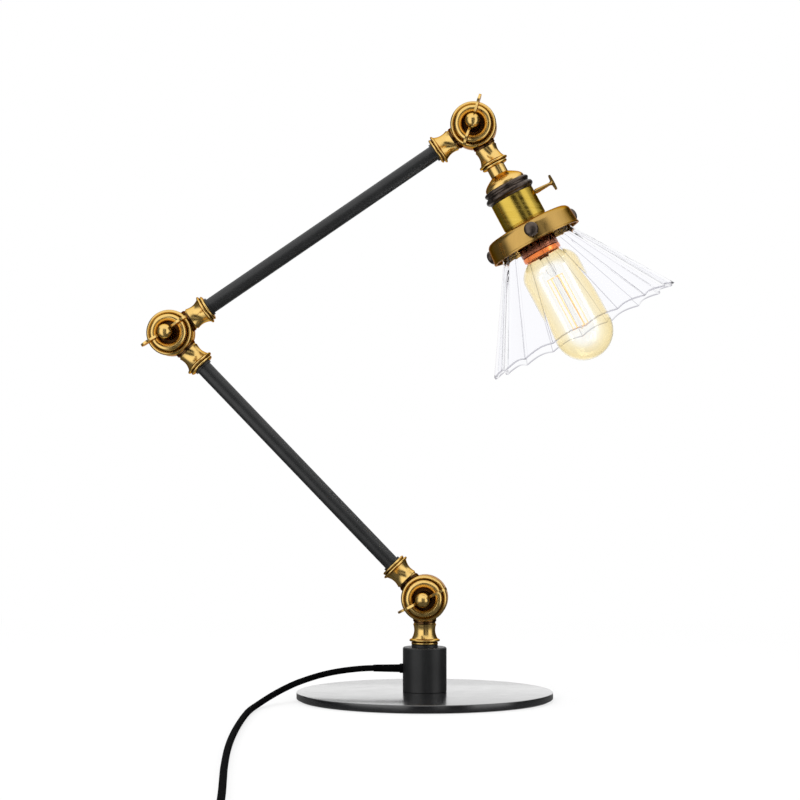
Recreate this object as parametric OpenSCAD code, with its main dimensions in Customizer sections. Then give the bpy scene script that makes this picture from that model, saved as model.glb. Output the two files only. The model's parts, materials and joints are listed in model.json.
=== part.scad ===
// Accordion desk lamp: round base, three knuckle joints, two tube arms, and a fluted glass shade over one bulb.
// Millimetres, Z up. The origin is the centre of the base's underside. The arms lie in the XZ plane, and -Y is the
// side of the wing screws. Each knuckle is two half drums, one on each arm, clamped by a screw along Y.

/* [Base] */
// Diameter of the steel base plate
base_d = 191; // [150:1:240]
// Thickness of the base plate
plate_t = 5; // [4.5:0.5:12]
// Thickness of the felt pad under it
pad_t = 1; // [0.6:0.1:3]
// How far the felt stays inside the plate's edge
pad_inset = 2; // [1:0.5:10]
// Rounding of the plate's top edge
plate_edge_r = 0.8; // [0.2:0.1:2]
// Diameter of the recess for the nut under the plate
recess_d = 24; // [20:0.5:32]
// Thickness of that nut
base_nut_t = 2.6; // [2:0.1:3]
// Width of that nut across its flats
base_nut_af = 14; // [12:0.5:17]

/* [Column] */
// Outer diameter of the column
column_d = 32.7; // [28:0.1:45]
// Height of the column
column_h = 33; // [30:0.5:70]
// Wall of the column
column_wall = 2.6; // [1.5:0.1:4]
// Thickness of its top
column_top_t = 4; // [2:0.5:8]
// Chamfer of its top edge
column_edge = 0.8; // [0.2:0.1:2]
// Diameter of the washer on the column
column_washer_d = 19.6; // [14:0.1:24]
// Thickness of that washer
column_washer_t = 1.8; // [0.8:0.1:3]

/* [Knuckles] */
// Diameter of a knuckle's drum
drum_d = 34.4; // [33.6:0.2:44]
// Thickness of one half drum, from the friction washer to its rim
half_t = 10.5; // [8.6:0.1:14]
// Thickness of the friction washer between the halves
friction_t = 0.8; // [0.5:0.1:2]
// How far the raised ring stands out of a drum's face
ring_h = 5; // [3.2:0.1:6]
// Outer diameter of the raised ring
ring_outer_d = 28; // [26:0.2:28]
// Inner diameter of the raised ring, which is the seat's diameter
ring_inner_d = 16.8; // [16:0.2:18]
// Depth of the seat for the screw's collar and the nut, below the face
seat_depth = 3; // [1:0.1:3]
// Diameter of the screw that clamps the halves
screw_d = 6; // [4:0.1:7]
// Width of the wire groove round the screw
groove_w = 5; // [4:0.1:6]
// Depth of the wire groove
groove_depth = 4; // [3:0.1:5]

/* [Necks] */
// Length of a neck, from the joint's axis to its end
neck_len = 34.7; // [32:0.1:50]
// Diameter of a neck where it leaves the drum
neck_root_d = 17.3; // [15:0.1:18]
// Diameter of its waist
neck_waist_d = 15.7; // [12:0.1:16]
// Diameter of its ridge
neck_ridge_d = 22.8; // [19:0.1:24]
// Diameter of the bead at its end
neck_bead_d = 20; // [15:0.1:21]

/* [Wing screws] */
// Width over both wings
wing_span = 40; // [30:0.5:50]
// Thickness of a wing
wing_t = 1.7; // [1.2:0.1:3]
// Diameter of the ball on the screw
wing_ball_d = 10.8; // [8:0.1:12]
// Distance from the middle of the knuckle to the ball's centre
wing_ball_y = 30; // [26:0.5:34]
// Angle of the wings above the horizontal, at the lower, middle and upper knuckle
wing_turn = [27, 33, 72]; // [0:1:180]

/* [Arms] */
// Length of each black tube
tube_len = 203.2; // [120:0.1:320]
// Outer diameter of the tubes
tube_d = 11.7; // [10:0.1:13]
// Diameter of the washers at the tubes' ends
end_washer_d = 14.2; // [12:0.1:18]
// Thickness of those washers
end_washer_t = 1.5; // [0.8:0.1:3]
// Outer diameter of the hollow threaded nipples
nipple_d = 8; // [7:0.1:9]
// Bore of the nipples
nipple_bore = 5.2; // [4.8:0.1:6]
// How far a nipple goes into a neck, a tube or the socket's stem
nipple_grip = 12; // [8:0.5:14]
// Lean of the lower arm above the +X direction, in degrees
lower_angle = 134; // [100:0.5:150]
// Slope of the upper arm above the +X direction, in degrees
upper_angle = 34.1; // [20:0.1:60]
// Tilt of the head from straight down towards +X, in degrees
head_tilt = 28; // [0:0.5:60]

/* [Lamp head] */
// Diameter of the stem of the bell cap
stem_d = 13.6; // [11:0.1:16]
// Length of that stem
stem_len = 7; // [4:0.5:20]
// Diameter of the bell
bell_d = 31.4; // [26:0.1:32]
// Height of the bell
bell_h = 9; // [6:0.5:16]
// Diameter of the dark clamping ring
clamp_d = 38.4; // [36:0.1:42]
// Height of that ring
clamp_h = 9.8; // [8.5:0.1:12]
// Diameter of the brass shell
shell_d = 34; // [32:0.1:36]
// Length of the shell that shows
shell_len = 23; // [20:0.5:36]
// Wall of the shell
shell_wall = 2; // [1:0.1:2.4]
// Length of the thread below the shell
thread_len = 14; // [10:0.5:18]
// Distance of the switch from the shell's top
switch_drop = 5; // [5:0.5:12]
// Length of the switch's stem outside the shell
switch_len = 14; // [8:0.5:24]
// Width of the switch's key
switch_key_w = 12; // [8:0.1:16]

/* [Shade holder] */
// Diameter of the holder at its shoulder
holder_d = 68.4; // [68:0.2:80]
// Height of the holder
holder_h = 17; // [15:0.5:26]
// How much wider the holder is at its mouth
holder_flare = 1.6; // [0:0.1:4]
// Wall of the holder
holder_wall = 1.6; // [0.8:0.1:2.4]
// Diameter of the thumb screws' heads
thumb_d = 10.8; // [8:0.1:14]
// Thread diameter of the thumb screws
thumb_screw_d = 4; // [3:0.1:5]
// Length of a thumb screw's head
thumb_h = 6.4; // [4:0.1:8]

/* [Shade] */
// Diameter of the shade's collar
collar_d = 57.2; // [52:0.2:60]
// Diameter of the lip that rests on the screws
lip_d = 62.4; // [60:0.2:63]
// Height of the lip
lip_h = 2.4; // [1.5:0.1:3]
// Diameter over the ridges at the rim
shade_d = 152.4; // [120:0.5:200]
// Height of the glass, from its lip to its rim
shade_h = 87; // [60:0.5:140]
// Thickness of the glass
glass_t = 2.4; // [1.6:0.1:3.5]
// Number of flutes round the shade
flutes = 18; // [12:1:24]
// Depth of a flute at the rim
flute_depth = 4; // [1:0.1:6]
// Depth of the scallops along the rim
scallop = 1.8; // [0:0.1:4]

/* [Bulb] */
// Diameter of the bulb
bulb_d = 44.6; // [38:0.1:50]
// Length of the bulb, from its contact to its round end
bulb_len = 111; // [100:1:125]
// Wall of its glass
bulb_wall = 0.8; // [0.5:0.1:1.2]
// Diameter of its screw cap
cap_d = 26.4; // [26:0.1:26.6]
// Length of its screw cap
cap_len = 24.5; // [22:0.5:27]
// Number of filament strands
strands = 6; // [2:1:10]

/* [Cord] */
// Diameter of the power cord
cord_d = 4.5; // [3:0.1:6]
// Height of the cord's exit above the table
cord_exit_z = 23; // [18:0.5:27]
// Length of the strain relief outside the column
boot_len = 22; // [20:0.5:60]
// Turns of the coil in its lower layer
lower_turns = 3.5; // [1.5:1:5.5]
// Turns of the coil in its upper layer
upper_turns = 3; // [1:1:5]
// Radius of the coil's inmost turn
coil_inner_r = 18; // [14:0.5:30]
// Distance from one turn, or layer, to the next
coil_pitch = 5; // [5:0.1:8]

/* [Hidden] */
$fn = 96;

// Clearances
run_fit = 0.05;      // radial, round a shaft that turns or a thread that is screwed in
face_gap = 0.1;      // between faces that slide on each other
saddle_gap = 0.4;    // between a drum and the neck that swings round it
tiny = 0.01;

// Colours
brass = "#8a6b3c";
bright_brass = "#c8a84a";
bronze = "#4b3c30";
black = "#17171a";

// Heights on the base
plate_top = pad_t + plate_t;
column_top = plate_top + column_h;
nut_ceiling = pad_t + face_gap + base_nut_t;

// The joints' centres, in the XZ plane
arm_len = tube_len + 2 * (end_washer_t + neck_len);
joint1 = [0, 0, column_top + column_washer_t + neck_len];
joint2 = joint1 + arm_len * [cos(lower_angle), 0, sin(lower_angle)];
joint3 = joint2 + arm_len * [cos(upper_angle), 0, sin(upper_angle)];
head_angle = head_tilt - 90;

// Knuckles: t is the distance from the knuckle's middle plane
drum_r = drum_d / 2;
mating_t = friction_t / 2;
rim_t = mating_t + half_t;
seat_t = rim_t - seat_depth;
rim_r = 2.2;
bore_r = screw_d / 2 + run_fit;
groove_in_r = screw_d / 2 + 2.5;
groove_out_r = groove_in_r + groove_w;
nut_h = 5;
nut_af = ring_inner_d - 4;
nut_dome_h = 5.2;
shank_tip_t = seat_t + nut_h + 1;
wire_bore_r = nipple_bore / 2;
lead_r = wire_bore_r - 0.4;
nipple_r = nipple_d / 2;
thread_r = nipple_r + run_fit;
neck_start = groove_out_r - 1;
lead_start = drum_r + 2;

// The head, as distances from the upper knuckle's axis
stem_end = neck_len + stem_len;
bell_end = stem_end + bell_h;
clamp_end = bell_end + clamp_h;
shell_end = clamp_end + shell_len;
thread_end = shell_end + thread_len;
shell_r = shell_d / 2;
shell_in_r = shell_r - shell_wall;
thread_out_r = shell_r - 0.6;
holder_r = holder_d / 2;
holder_end = shell_end + holder_h;
switch_s = clamp_end + switch_drop;
insulator_top = clamp_end + 2.5;
cup_bottom = shell_end - 1;
contact_tip = cup_bottom + 2.6;
screw_shell_out_r = cap_d / 2 + 0.65;
screw_shell_in_r = cap_d / 2 + 0.25;

// The shade hangs by its lip on the three screws
ring_nut_t = 3.4;
lip_top = shell_end + holder_wall + 2.4;
lip_bottom = lip_top + lip_h;
thumb_s = lip_bottom + thumb_screw_d / 2 + 0.3;
collar_r = collar_d / 2;
collar_end = holder_end + 1;
rim_s = lip_top + shade_h;
shade_r = shade_d / 2;

// Bulb
bulb_start = contact_tip + 0.1;
cap_end = bulb_start + cap_len + 1;
bulb_end = bulb_start + bulb_len;
bulb_r = bulb_d / 2;

// Cord: hand-chosen points from the strain relief to the coil
cord_r = cord_d / 2;
boot_tip_x = -(column_d / 2 + boot_len);
coil_lift = 1;
cord_route = [
  [boot_tip_x, 0, cord_exit_z], [-44, -0.2, 22.8], [-52, -1, 22.2], [-61, -2.6, 21.2], [-70, -5.2, 19.8],
  [-78.5, -9, 18], [-86.5, -14, 15.8], [-94, -20, 13.4], [-100.5, -27.5, 10.8], [-106, -36, 8.3],
  [-110.5, -45.5, 6], [-113.8, -55.5, 4.2], [-116, -66, 3], [-117.3, -77, 2.4], [-117.9, -88, cord_r],
  [-118, -99, cord_r], [-117.9, -111, cord_r], [-117.5, -123, cord_r], [-117, -135, cord_r],
  [-116.4, -147, cord_r], [-115.8, -159, cord_r], [-115.1, -171, cord_r], [-114.4, -183, cord_r],
  [-113.6, -195, cord_r], [-112.8, -207, cord_r], [-111.9, -219, cord_r], [-111, -231, cord_r],
  [-110, -243, cord_r], [-109, -255, cord_r], [-107.9, -267, cord_r], [-106.8, -279, cord_r],
  [-105.6, -291, cord_r], [-104.4, -303, cord_r], [-103.1, -315, cord_r], [-101.8, -327, cord_r],
  [-100.4, -339, cord_r], [-99, -351, cord_r], [-97.6, -363, cord_r], [-96.1, -375, cord_r],
  [-94.6, -387, cord_r], [-93.1, -399, cord_r], [-91.5, -411, cord_r], [-89.9, -423, cord_r],
  [-88.3, -435, cord_r], [-86.7, -447, cord_r], [-85.1, -459, cord_r], [-83.5, -471, cord_r],
  [-81.9, -483, cord_r], [-80.4, -495, cord_r], [-78.9, -507, cord_r], [-77.5, -519, cord_r],
  [-76.2, -531, cord_r], [-75, -543, cord_r], [-73.8, -555, cord_r + 0.1], [-72.7, -567, cord_r + 0.3],
  [-71.7, -579, cord_r + 0.6], [-70.9, -591, cord_r + 0.8], [-70.3, -603, cord_r + 0.95],
  [-70, -614, cord_r + coil_lift]
];

// Coil: an angle of 0 is where the cord comes in, going towards -Y
coil_start = cord_route[len(cord_route) - 1];
coil_sides = 6;
steps_per_turn = 24;
lower_r = coil_inner_r + coil_pitch * lower_turns;
coil_straight = cord_d;
coil_centre = coil_start + [lower_r, -coil_straight, 0];
climb_from = 360 * lower_turns;
climb_to = climb_from + 180;
coil_turn = climb_to + 360 * upper_turns;
upper_end_r = coil_inner_r + coil_pitch * upper_turns;
tail_len = 17;
plug_start = coil_centre + [-upper_end_r, -tail_len, coil_pitch];
plug_boot_len = 14;
plug_len = 32;
plug_w = 24;
plug_t = 2 * (cord_r + coil_lift + coil_pitch) - 0.6;
blade_len = 16;
blade_w = 6.3;
blade_t = 1.5;
blade_gap = 12.7;

// ---------------------------------------------------------------- helpers

// Stands a child at a joint with its +X along the given direction in the XZ plane
module along(centre, angle) {
  translate(centre)
    rotate([0, -angle, 0])
      children();
}

// A turned piece about +X; each point of the outline is [radius, distance along X]
module turned_x(outline) {
  rotate([0, 90, 0])
    rotate_extrude()
      polygon(outline);
}

// A turned piece about Y: side -1 is the front, where distance grows towards -Y, and side 1 is the rear
module turned_y(outline, side) {
  rotate([-90 * side, 0, 0])
    rotate_extrude()
      polygon(outline);
}

// A round bar along +X from one distance to another
module bar_x(r, from, to) {
  translate([from, 0, 0])
    rotate([0, 90, 0])
      cylinder(r = r, h = to - from);
}

// A round bar along Y on one side of the knuckle's middle plane
module bar_y(r, from, to, side) {
  rotate([-90 * side, 0, 0])
    translate([0, 0, from])
      cylinder(r = r, h = to - from);
}

// Points of an arc about [cx, cy], from angle a to angle b
function arc(cx, cy, r, a, b, n) = [for (i = [0:n]) let (t = a + (b - a) * i / n) [cx + r * cos(t), cy + r * sin(t)]];

function unit(v) = v / norm(v);

// Direction of a path at point i
function heading(path, i) = unit(path[min(i + 1, len(path) - 1)] - path[max(i - 1, 0)]);

// Ring of points round a path's point
function ring(centre, dir, r, sides) =
  let (across = unit(cross(dir, [0, 0, 1])), up = cross(across, dir))
  [for (k = [0:sides - 1]) let (a = 360 * (k + 0.5) / sides) centre + r * (cos(a) * across + sin(a) * up)];

// A tube of triangles swept along a path
module swept(path, r, sides) {
  rings = len(path);
  points = [for (i = [0:rings - 1]) each ring(path[i], heading(path, i), r, sides)];
  walls = [
    for (i = [0:rings - 2], k = [0:sides - 1])
      let (a = i * sides + k, b = i * sides + (k + 1) % sides)
      each [[a, b, b + sides], [a, b + sides, a + sides]]
  ];
  last = (rings - 1) * sides;
  start_cap = [for (k = [1:sides - 2]) [0, k + 1, k]];
  end_cap = [for (k = [1:sides - 2]) [last, last + k, last + k + 1]];
  polyhedron(points = points, faces = concat(walls, start_cap, end_cap), convexity = 10);
}

// ---------------------------------------------------------------- base

module base_pad() {
  color("#26262a")
    cylinder(r = base_d / 2 - pad_inset, h = pad_t);
}

module base_plate() {
  r = base_d / 2;
  outline = concat(
    [[thread_r, nut_ceiling], [recess_d / 2, nut_ceiling], [recess_d / 2, pad_t], [r - 0.4, pad_t], [r, pad_t + 0.4]],
    arc(r - plate_edge_r, plate_top - plate_edge_r, plate_edge_r, 0, 90, 5),
    [[thread_r, plate_top]]
  );
  color(black)
    rotate_extrude($fn = 180)
      polygon(outline);
}

module base_nut() {
  color("silver")
    difference() {
      translate([0, 0, nut_ceiling - base_nut_t])
        cylinder(d = base_nut_af / cos(30), h = base_nut_t, $fn = 6);
      translate([0, 0, -tiny])
        cylinder(r = thread_r, h = plate_top);
    }
}

module column() {
  r = column_d / 2;
  inner = r - column_wall;
  outline = [
    [thread_r, column_top], [thread_r, column_top - column_top_t], [inner, column_top - column_top_t],
    [inner, plate_top], [r - 0.3, plate_top], [r, plate_top + 0.3],
    [r, column_top - column_edge], [r - column_edge, column_top]
  ];
  color(black)
    difference() {
      rotate_extrude()
        polygon(outline);
      translate([0, 0, cord_exit_z])
        rotate([0, -90, 0])
          cylinder(r = boot_neck_r() + run_fit, h = r + 1);
    }
}

function boot_neck_r() = cord_r + 0.8;

module column_rod() {
  window_low = cord_exit_z - 5;
  window_h = 20;
  color("silver")
    difference() {
      translate([0, 0, pad_t + face_gap])
        cylinder(r = nipple_r, h = column_top + column_washer_t + nipple_grip - pad_t - face_gap);
      cylinder(r = wire_bore_r, h = column_top + neck_len);
      translate([-nipple_r - 1, -wire_bore_r, window_low])
        cube([nipple_r + 1, nipple_bore, window_h]);
    }
}

module column_washer() {
  color(black)
    translate([0, 0, column_top])
      difference() {
        cylinder(d = column_washer_d, h = column_washer_t);
        translate([0, 0, -1])
          cylinder(r = thread_r, h = column_washer_t + 2);
      }
}

module strain_relief() {
  r = column_d / 2;
  neck_r = boot_neck_r();
  root_r = neck_r + 0.5;
  tip_r = cord_r + 0.35;
  color(black)
    translate([0, 0, cord_exit_z])
      rotate([0, 0, 180])
        difference() {
          union() {
            difference() {
              turned_x([
                [0, r - 3], [root_r, r - 3], [root_r, r + 2], [root_r - 0.6, r + 2.6],
                [tip_r, r + boot_len - 0.3], [tip_r - 0.15, r + boot_len], [0, r + boot_len]
              ]);
              translate([0, 0, -10])
                cylinder(r = r, h = 20);
            }
            bar_x(neck_r, r - column_wall - 2, r + 1);
            bar_x(neck_r + 0.8, r - column_wall - 3.2, r - column_wall - 1.6);
          }
          bar_x(cord_r + run_fit, r - 10, r + boot_len + 1);
        }
}

module base_lead() {
  bend_r = 8;
  rise = cord_exit_z + bend_r;
  path = concat(
    [[boot_tip_x, 0, cord_exit_z], [-bend_r - 8, 0, cord_exit_z]],
    [for (a = [-90:15:0]) [-bend_r + bend_r * cos(a), 0, rise + bend_r * sin(a)]],
    [[0, 0, joint1[2] - lead_start]]
  );
  color(black)
    upright_swept(path, lead_r, 8);
}

// A tube of triangles along a path in the XZ plane, which may stand upright
module upright_swept(path, r, sides) {
  rotate([90, 0, 0])
    swept([for (p = path) [p[0], p[2], -p[1]]], r, sides);
}

// ---------------------------------------------------------------- cord

module cord_run() {
  color(black)
    swept(cord_route, cord_r, 8);
}

// Radius of the coil's path: in along the lower layer, still inwards for the first half of the climb, and out again
function coil_r(a) =
  a <= climb_from + 90 ? lower_r - coil_pitch * a / 360
  : a <= climb_to ? coil_r_turn() + coil_pitch * (a - climb_from - 90) / 360
  : coil_inner_r + coil_pitch * (a - climb_to) / 360;
function coil_r_turn() = lower_r - coil_pitch * (climb_from + 90) / 360;

// Height of the path above the lower layer
function coil_z(a) = coil_pitch * (1 - cos(max(0, min(180, a - climb_from)))) / 2;

function coil_point(a) = coil_centre + [-coil_r(a) * cos(a), -coil_r(a) * sin(a), coil_z(a)];

coil_path = concat(
  [coil_start],
  [for (i = [0:coil_turn * steps_per_turn / 360]) coil_point(i * 360 / steps_per_turn)],
  [plug_start + [0, 1.5 * cord_d, 0], plug_start]
);

// Least distance between stretches of the coil that are half a turn or more apart
coil_gap = min([
  for (i = [0:len(coil_path) - 1], j = [i + steps_per_turn / 2:1:len(coil_path) - 1])
    norm(coil_path[i] - coil_path[j])
]) - cord_d;
coil_length = ([for (i = 1, sum = 0; i <= len(coil_path); sum = sum + (i < len(coil_path)
  ? norm(coil_path[i] - coil_path[i - 1]) : 0), i = i + 1) sum][len(coil_path) - 1]);
run_length = ([for (i = 1, sum = 0; i <= len(cord_route); sum = sum + (i < len(cord_route)
  ? norm(cord_route[i] - cord_route[i - 1]) : 0), i = i + 1) sum][len(cord_route) - 1]);
echo(coil_gap = coil_gap, coil_length = coil_length, run_length = run_length,
     cord_length = boot_len + run_length + coil_length);

module cord_coil() {
  color(black)
    swept(coil_path, cord_r, coil_sides);
}

module cord_tie() {
  // A flat band round the bundle, a quarter turn on from where the cord comes in
  band_w = 8;
  band_t = 0.6;
  room = 0.2;
  inmost = (coil_inner_r + coil_pitch * 0.25) * cos(180 / steps_per_turn);
  low = sqrt(inmost * inmost - band_w * band_w / 4) - cord_r - room;
  high = lower_r - coil_pitch * 0.25 + cord_r + room;
  bundle_h = cord_d + coil_pitch + 2 * room;
  color("#2b2b2e")
    translate([coil_centre[0], coil_centre[1] - (low + high) / 2, coil_centre[2] - cord_r - room + bundle_h / 2])
      rotate([0, 90, 0])
        linear_extrude(band_w, center = true)
          difference() {
            offset(r = band_t)
              square([bundle_h, high - low], center = true);
            square([bundle_h, high - low], center = true);
          }
}

module plug_body() {
  color(black)
    translate(plug_start)
      rotate([0, 0, -90]) {
        turned_x([[0, 0], [cord_r + 0.7, 0], [cord_r + 2, plug_boot_len + 2], [0, plug_boot_len + 2]]);
        hull() {
          translate([plug_boot_len, 0, 0])
            cube([2, plug_w * 0.45, plug_t * 0.6], center = true);
          translate([plug_boot_len + plug_len * 0.5, 0, 0])
            cube([4, plug_w - 2, plug_t - 2], center = true);
          translate([plug_boot_len + plug_len * 0.5, 0, 0])
            cube([2, plug_w, plug_t - 4], center = true);
          translate([plug_boot_len + plug_len - 1, 0, 0])
            cube([2, plug_w - 4, plug_t - 3], center = true);
        }
      }
}

module plug_blades() {
  color("silver")
    translate(plug_start + [0, -plug_boot_len - plug_len, 0])
      for (side = [-1, 1])
        translate([side * blade_gap / 2, -blade_len / 2, 0])
          cube([blade_t, blade_len, blade_w], center = true);
}

// ---------------------------------------------------------------- knuckles and necks

// Outline of a half drum: mating face, rounded rim, raised ring and the seat in the middle
function drum_outline() =
  let (
    ring_mid = (ring_outer_d + ring_inner_d) / 4,
    ring_half = (ring_outer_d - ring_inner_d) / 4,
    bead_t = rim_t + ring_h - ring_half
  )
  concat(
    [[bore_r, mating_t], [drum_r - 0.4, mating_t], [drum_r, mating_t + 0.4]],
    arc(drum_r - rim_r, rim_t - rim_r, rim_r, 0, 75, 6),
    [[ring_outer_d / 2 + 0.3, rim_t - 1.2], [ring_outer_d / 2, rim_t - 0.8], [ring_outer_d / 2, bead_t]],
    [for (i = [1:7]) let (t = 180 * i / 8) [ring_mid + ring_half * cos(t), bead_t + ring_half * sin(t)]],
    [[ring_inner_d / 2, bead_t], [ring_inner_d / 2, seat_t], [bore_r, seat_t]]
  );

// Outline of a neck: root, waist that flares to the ridge, and the bead at the end
function neck_outline() =
  let (
    root = neck_root_d / 2,
    waist = neck_waist_d / 2,
    ridge = neck_ridge_d / 2,
    bead = neck_bead_d / 2,
    groove = 0.6,
    flare_from = drum_r + 2.2,
    flare_to = neck_len - 4.6,
    flare_end_r = bead - 0.3,
    low = 0.42
  )
  concat(
    [[0, neck_start], [root, neck_start], [root, drum_r + 0.1], [root - groove, drum_r + 0.5]],
    [[root - groove, flare_from - 0.4], [root, flare_from]],
    [for (i = [1:12]) let (u = i / 12)
      [waist + (u < low ? (root - waist) * pow(1 - u / low, 2) : (flare_end_r - waist) * pow((u - low) / (1 - low), 2)),
       flare_from + (flare_to - flare_from) * u]],
    arc(ridge - 0.8, neck_len - 3.3, 0.8, -70, 70, 4),
    [[bead - 0.7, neck_len - 2.1]],
    arc(bead - 0.9, neck_len - 1, 0.9, -60, 60, 4),
    [[bead - 1.2, neck_len], [0, neck_len]]
  );

// One half of a knuckle with its neck along +X; side -1 is the half that the wing screw's collar presses
module knuckle_half(side) {
  difference() {
    union() {
      turned_y(drum_outline(), side);
      difference() {
        turned_x(neck_outline());
        bar_y(drum_r + saddle_gap, -mating_t, drum_r, -side);
      }
    }
    bar_y(bore_r, -1, rim_t + ring_h, side);
    difference() {
      bar_y(groove_out_r, 0, mating_t + groove_depth, side);
      bar_y(groove_in_r, -1, mating_t + groove_depth + 1, side);
    }
    bar_x(wire_bore_r, groove_in_r + 1, neck_len + 1);
    bar_x(thread_r, neck_len - nipple_grip - 0.5, neck_len + 1);
  }
}

module friction_washer(centre) {
  color("#3a2c22")
    translate(centre)
      rotate([90, 0, 0])
        translate([0, 0, -mating_t + face_gap])
          difference() {
            cylinder(r = drum_r - 0.8, h = friction_t - face_gap);
            translate([0, 0, -1])
              cylinder(r = groove_out_r + 1, h = friction_t + 2);
          }
}

module cap_nut(centre) {
  color(brass)
    translate(centre)
      difference() {
        union() {
          rotate([-90, 0, 0])
            translate([0, 0, seat_t])
              cylinder(d = nut_af / cos(30), h = nut_h, $fn = 6);
          turned_y(concat(
            [[0, seat_t], [nut_af / 2 - 0.8, seat_t], [nut_af / 2 - 0.8, seat_t + nut_h]],
            [for (i = [1:7]) let (t = 90 * i / 8)
              [(nut_af / 2 - 0.8) * cos(t), seat_t + nut_h + nut_dome_h * sin(t)]],
            [[0, seat_t + nut_h + nut_dome_h]]
          ), 1);
        }
        bar_y(bore_r, seat_t - 1, shank_tip_t + 1, 1);
      }
}

module wing_screw(centre, turn) {
  collar_r = screw_d / 2 + 2.6;
  boss_r = screw_d / 2 + 1.4;
  wing_low = rim_t + ring_h + 1.5;
  wing_high = wing_ball_y + wing_ball_d / 2;
  tip_r = (wing_high - wing_low) * 0.3;
  color(brass)
    translate(centre)
      rotate([0, -turn, 0]) {
        turned_y(concat(
          [[0, seat_t + face_gap], [collar_r, seat_t + face_gap], [collar_r, seat_t + 2], [boss_r + 0.8, seat_t + 3]],
          [[boss_r, seat_t + 4.5], [boss_r - 0.6, wing_ball_y - wing_ball_d / 2 + 0.6]],
          arc(0, wing_ball_y, wing_ball_d / 2, -50, 80, 10),
          [[0, wing_high]]
        ), -1);
        bar_y(screw_d / 2, -shank_tip_t, seat_t + 1, -1);
        for (side = [0, 180])
          rotate([0, side, 0])
            linear_extrude(wing_t, center = true)
              hull() {
                translate([boss_r + 0.2, -(wing_ball_y - 2.5)])
                  circle(r = 2.6, $fn = 20);
                translate([wing_span / 2 - tip_r, -(wing_ball_y + 1)])
                  circle(r = tip_r, $fn = 28);
              }
      }
}

module knuckle1_front() {
  color(brass)
    along(joint1, -90)
      knuckle_half(-1);
}

module knuckle1_rear() {
  color(brass)
    along(joint1, lower_angle)
      knuckle_half(1);
}

module knuckle2_front() {
  color(brass)
    along(joint2, lower_angle + 180)
      knuckle_half(-1);
}

module knuckle2_rear() {
  color(brass)
    along(joint2, upper_angle)
      knuckle_half(1);
}

module knuckle3_front() {
  color(brass)
    along(joint3, upper_angle + 180)
      knuckle_half(-1);
}

module knuckle3_rear() {
  color(brass)
    along(joint3, head_angle)
      knuckle_half(1);
}

// ---------------------------------------------------------------- arms

module arm_tube(centre, angle) {
  start = neck_len + end_washer_t;
  color(black)
    along(centre, angle)
      difference() {
        bar_x(tube_d / 2, start, start + tube_len);
        bar_x(thread_r, start - 1, start + tube_len + 1);
      }
}

module arm_washers(centre, angle) {
  color(black)
    along(centre, angle)
      for (start = [neck_len, arm_len - neck_len - end_washer_t])
        difference() {
          bar_x(end_washer_d / 2, start, start + end_washer_t);
          bar_x(thread_r, start - 1, start + end_washer_t + 1);
        }
}

module arm_nipples(centre, angle) {
  length = 2 * nipple_grip + end_washer_t;
  color("silver")
    along(centre, angle)
      for (start = [neck_len - nipple_grip, arm_len - neck_len - end_washer_t - nipple_grip])
        difference() {
          bar_x(nipple_r, start, start + length);
          bar_x(wire_bore_r, start - 1, start + length + 1);
        }
}

module arm_lead(centre, angle) {
  color(black)
    along(centre, angle)
      bar_x(lead_r, lead_start, arm_len - lead_start);
}

// ---------------------------------------------------------------- lamp head

module head_nipple() {
  color("silver")
    along(joint3, head_angle)
      difference() {
        bar_x(nipple_r, neck_len - nipple_grip, stem_end + 2);
        bar_x(wire_bore_r, neck_len - nipple_grip - 1, stem_end + 3);
      }
}

module head_lead() {
  color(black)
    along(joint3, head_angle)
      bar_x(lead_r, lead_start, insulator_top);
}

module socket_cap() {
  // Stem and bell, spun in one piece; the skirt goes into the shell
  wall = 1.6;
  skirt_r = shell_in_r - run_fit;
  rise = bell_d / 2 - stem_d / 2;
  color(brass)
    along(joint3, head_angle)
      turned_x(concat(
        [[thread_r, neck_len], [stem_d / 2, neck_len], [stem_d / 2, stem_end]],
        [for (i = [1:9]) let (u = i / 9) [stem_d / 2 + rise * sin(90 * u), stem_end + (bell_h - 1) * u]],
        [[bell_d / 2, bell_end], [skirt_r, bell_end], [skirt_r, clamp_end + 1.5], [skirt_r - wall, clamp_end + 1.5],
         [skirt_r - wall, bell_end - 1]],
        [for (i = [6:-1:1]) let (u = i / 9)
          [stem_d / 2 - wall + rise * sin(90 * u), stem_end + wall + (bell_h - 1) * u]],
        [[thread_r, stem_end + wall]]
      ));
}

module socket_ring() {
  // Two beads, the lower one wider, over the skirt of the cap
  r = clamp_d / 2;
  upper_r = r - 1.2;
  inner = shell_in_r + run_fit;
  color(bronze)
    along(joint3, head_angle)
      turned_x(concat(
        [[inner, bell_end], [upper_r - 1.6, bell_end]],
        arc(upper_r - 1.6, bell_end + 1.6, 1.6, -90, 60, 6),
        [[upper_r - 1, bell_end + clamp_h * 0.4]],
        arc(r - 2.2, bell_end + clamp_h * 0.66, 2.2, -75, 75, 8),
        [[r - 2.4, clamp_end], [inner, clamp_end]]
      ));
}

module socket_shell() {
  color(bright_brass)
    along(joint3, head_angle)
      difference() {
        turned_x([
          [shell_in_r, clamp_end], [shell_r - 0.4, clamp_end], [shell_r, clamp_end + 0.4], [shell_r, shell_end - 2],
          [shell_r - 0.5, shell_end - 1.6], [shell_r - 0.5, shell_end - 1.2], [shell_r, shell_end - 0.8],
          [shell_r, shell_end], [thread_out_r, shell_end], [thread_out_r, thread_end], [shell_in_r, thread_end]
        ]);
        translate([switch_s, 0, 0])
          cylinder(r = 2.4, h = shell_r + 1);
      }
}

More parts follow.
